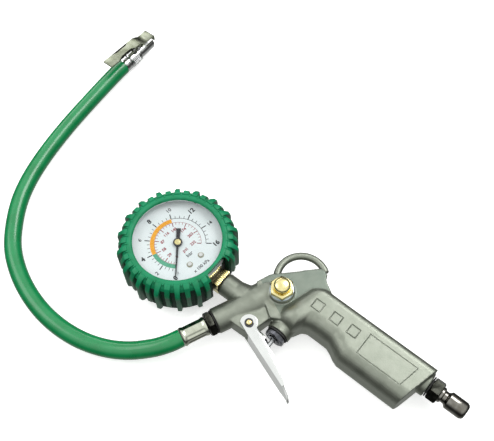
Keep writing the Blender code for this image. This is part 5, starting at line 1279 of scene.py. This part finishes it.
# %% Finishes for the CAD pieces that stay
KEPT = {
    "body_seals": (BLACK_RUBBER, ("valve_gasket", "stem_o_ring", "valve_seal", "gauge_seal",
                                  "hose_seal", "chuck_seal", "bleed_poppet")),
    "works": (BRASS, ("movement_back_plate", "movement_front_plate", "bourdon_tube",
                      "sector_gear", "link_bar", "pinion_arbor", "chuck_valve_pin")),
    "small_steel": (SPRING_STEEL, ("valve_spring", "bleed_spring", "hairspring",
                                   "trigger_pin_clip", "chuck_clip_pin", "chuck_clip_spring",
                                   "movement_screw_1", "movement_screw_2", "dial_stop_pin",
                                   "valve_stem")),
    "bright": (CHROME, ("gauge_bezel", "dial_screw_1", "dial_screw_2")),
}
for finish, names in KEPT.values():
    for name in names:
        NODES[name].data.materials.clear()
        NODES[name].data.materials.append(finish)
print("kept CAD pieces:", sum(len(names) for finish, names in KEPT.values()))

# %% [markdown]

# %% [markdown]
# A pale table and soft light from all round suit bright metal: chrome shows what stands
# about it, so a few large lights and the grey between them give it its contrast.

# %% Table, lights and surroundings
floor_mesh = bpy.data.meshes.new("table")
span = 3.0
floor_mesh.from_pydata([(-span, -span, -0.4 * MM), (span, -span, -0.4 * MM),
                        (span, span, -0.4 * MM), (-span, span, -0.4 * MM)], [],
                       [(0, 1, 2, 3)])
floor = add_object("table", floor_mesh)
TABLE = finish_of("table_white", (0.90, 0.90, 0.90), (0.93, 0.93, 0.93), 0.7, grain=3.0)
TABLE.node_tree.nodes["Principled BSDF"].inputs["Emission Color"].default_value = (1, 1, 1, 1)
TABLE.node_tree.nodes["Principled BSDF"].inputs["Emission Strength"].default_value = 0.55
floor.data.materials.append(TABLE)
floor.visible_glossy = False
floor.visible_diffuse = False


def area_light(name, place, aim, size, power, shape=(1.0, 1.0)):
    data = bpy.data.lights.new(name, "AREA")
    data.shape = "RECTANGLE"
    data.size = size * shape[0]
    data.size_y = size * shape[1]
    data.energy = power
    light = add_object(name, data)
    light.location = place
    light.rotation_euler = (Vector(aim) - Vector(place)).to_track_quat("-Z", "Y").to_euler()
    return light


area_light("key", (0.55, 0.15, 0.75), (0, 0.03, 0), 0.45, 3.6)
area_light("fill", (-0.5, 0.4, 0.65), (0, 0, 0), 0.5, 1.3)
area_light("rim", (0.1, 0.9, 0.4), (0, 0.05, 0), 0.5, 1.0, (1.4, 0.4))
world = bpy.data.worlds.new("studio")
world.use_nodes = True
sky = world.node_tree
background = sky.nodes["Background"]
background.inputs["Strength"].default_value = 1.1
spot = sky.nodes.new("ShaderNodeTexCoord")
split = sky.nodes.new("ShaderNodeSeparateXYZ")
height_share = sky.nodes.new("ShaderNodeMapRange")
height_share.inputs["From Min"].default_value = -1.0
ramp = sky.nodes.new("ShaderNodeValToRGB")
SKY_STOPS = ((0.0, 0.50), (0.18, 0.30), (0.32, 0.09), (0.46, 0.04), (0.60, 0.10),
             (0.72, 0.50), (0.86, 1.0))
while len(ramp.color_ramp.elements) < len(SKY_STOPS):
    ramp.color_ramp.elements.new(0.5)
for stop, (position, grey) in zip(ramp.color_ramp.elements, SKY_STOPS):
    stop.position = position
    stop.color = (grey * 0.98, grey, grey * 0.97, 1.0)
sky.links.new(spot.outputs["Generated"], split.inputs[0])
sky.links.new(split.outputs["Z"], height_share.inputs["Value"])
sky.links.new(height_share.outputs["Result"], ramp.inputs["Fac"])
sky.links.new(ramp.outputs["Color"], background.inputs["Color"])
bpy.context.scene.world = world
bpy.context.scene.view_settings.view_transform = "Standard"
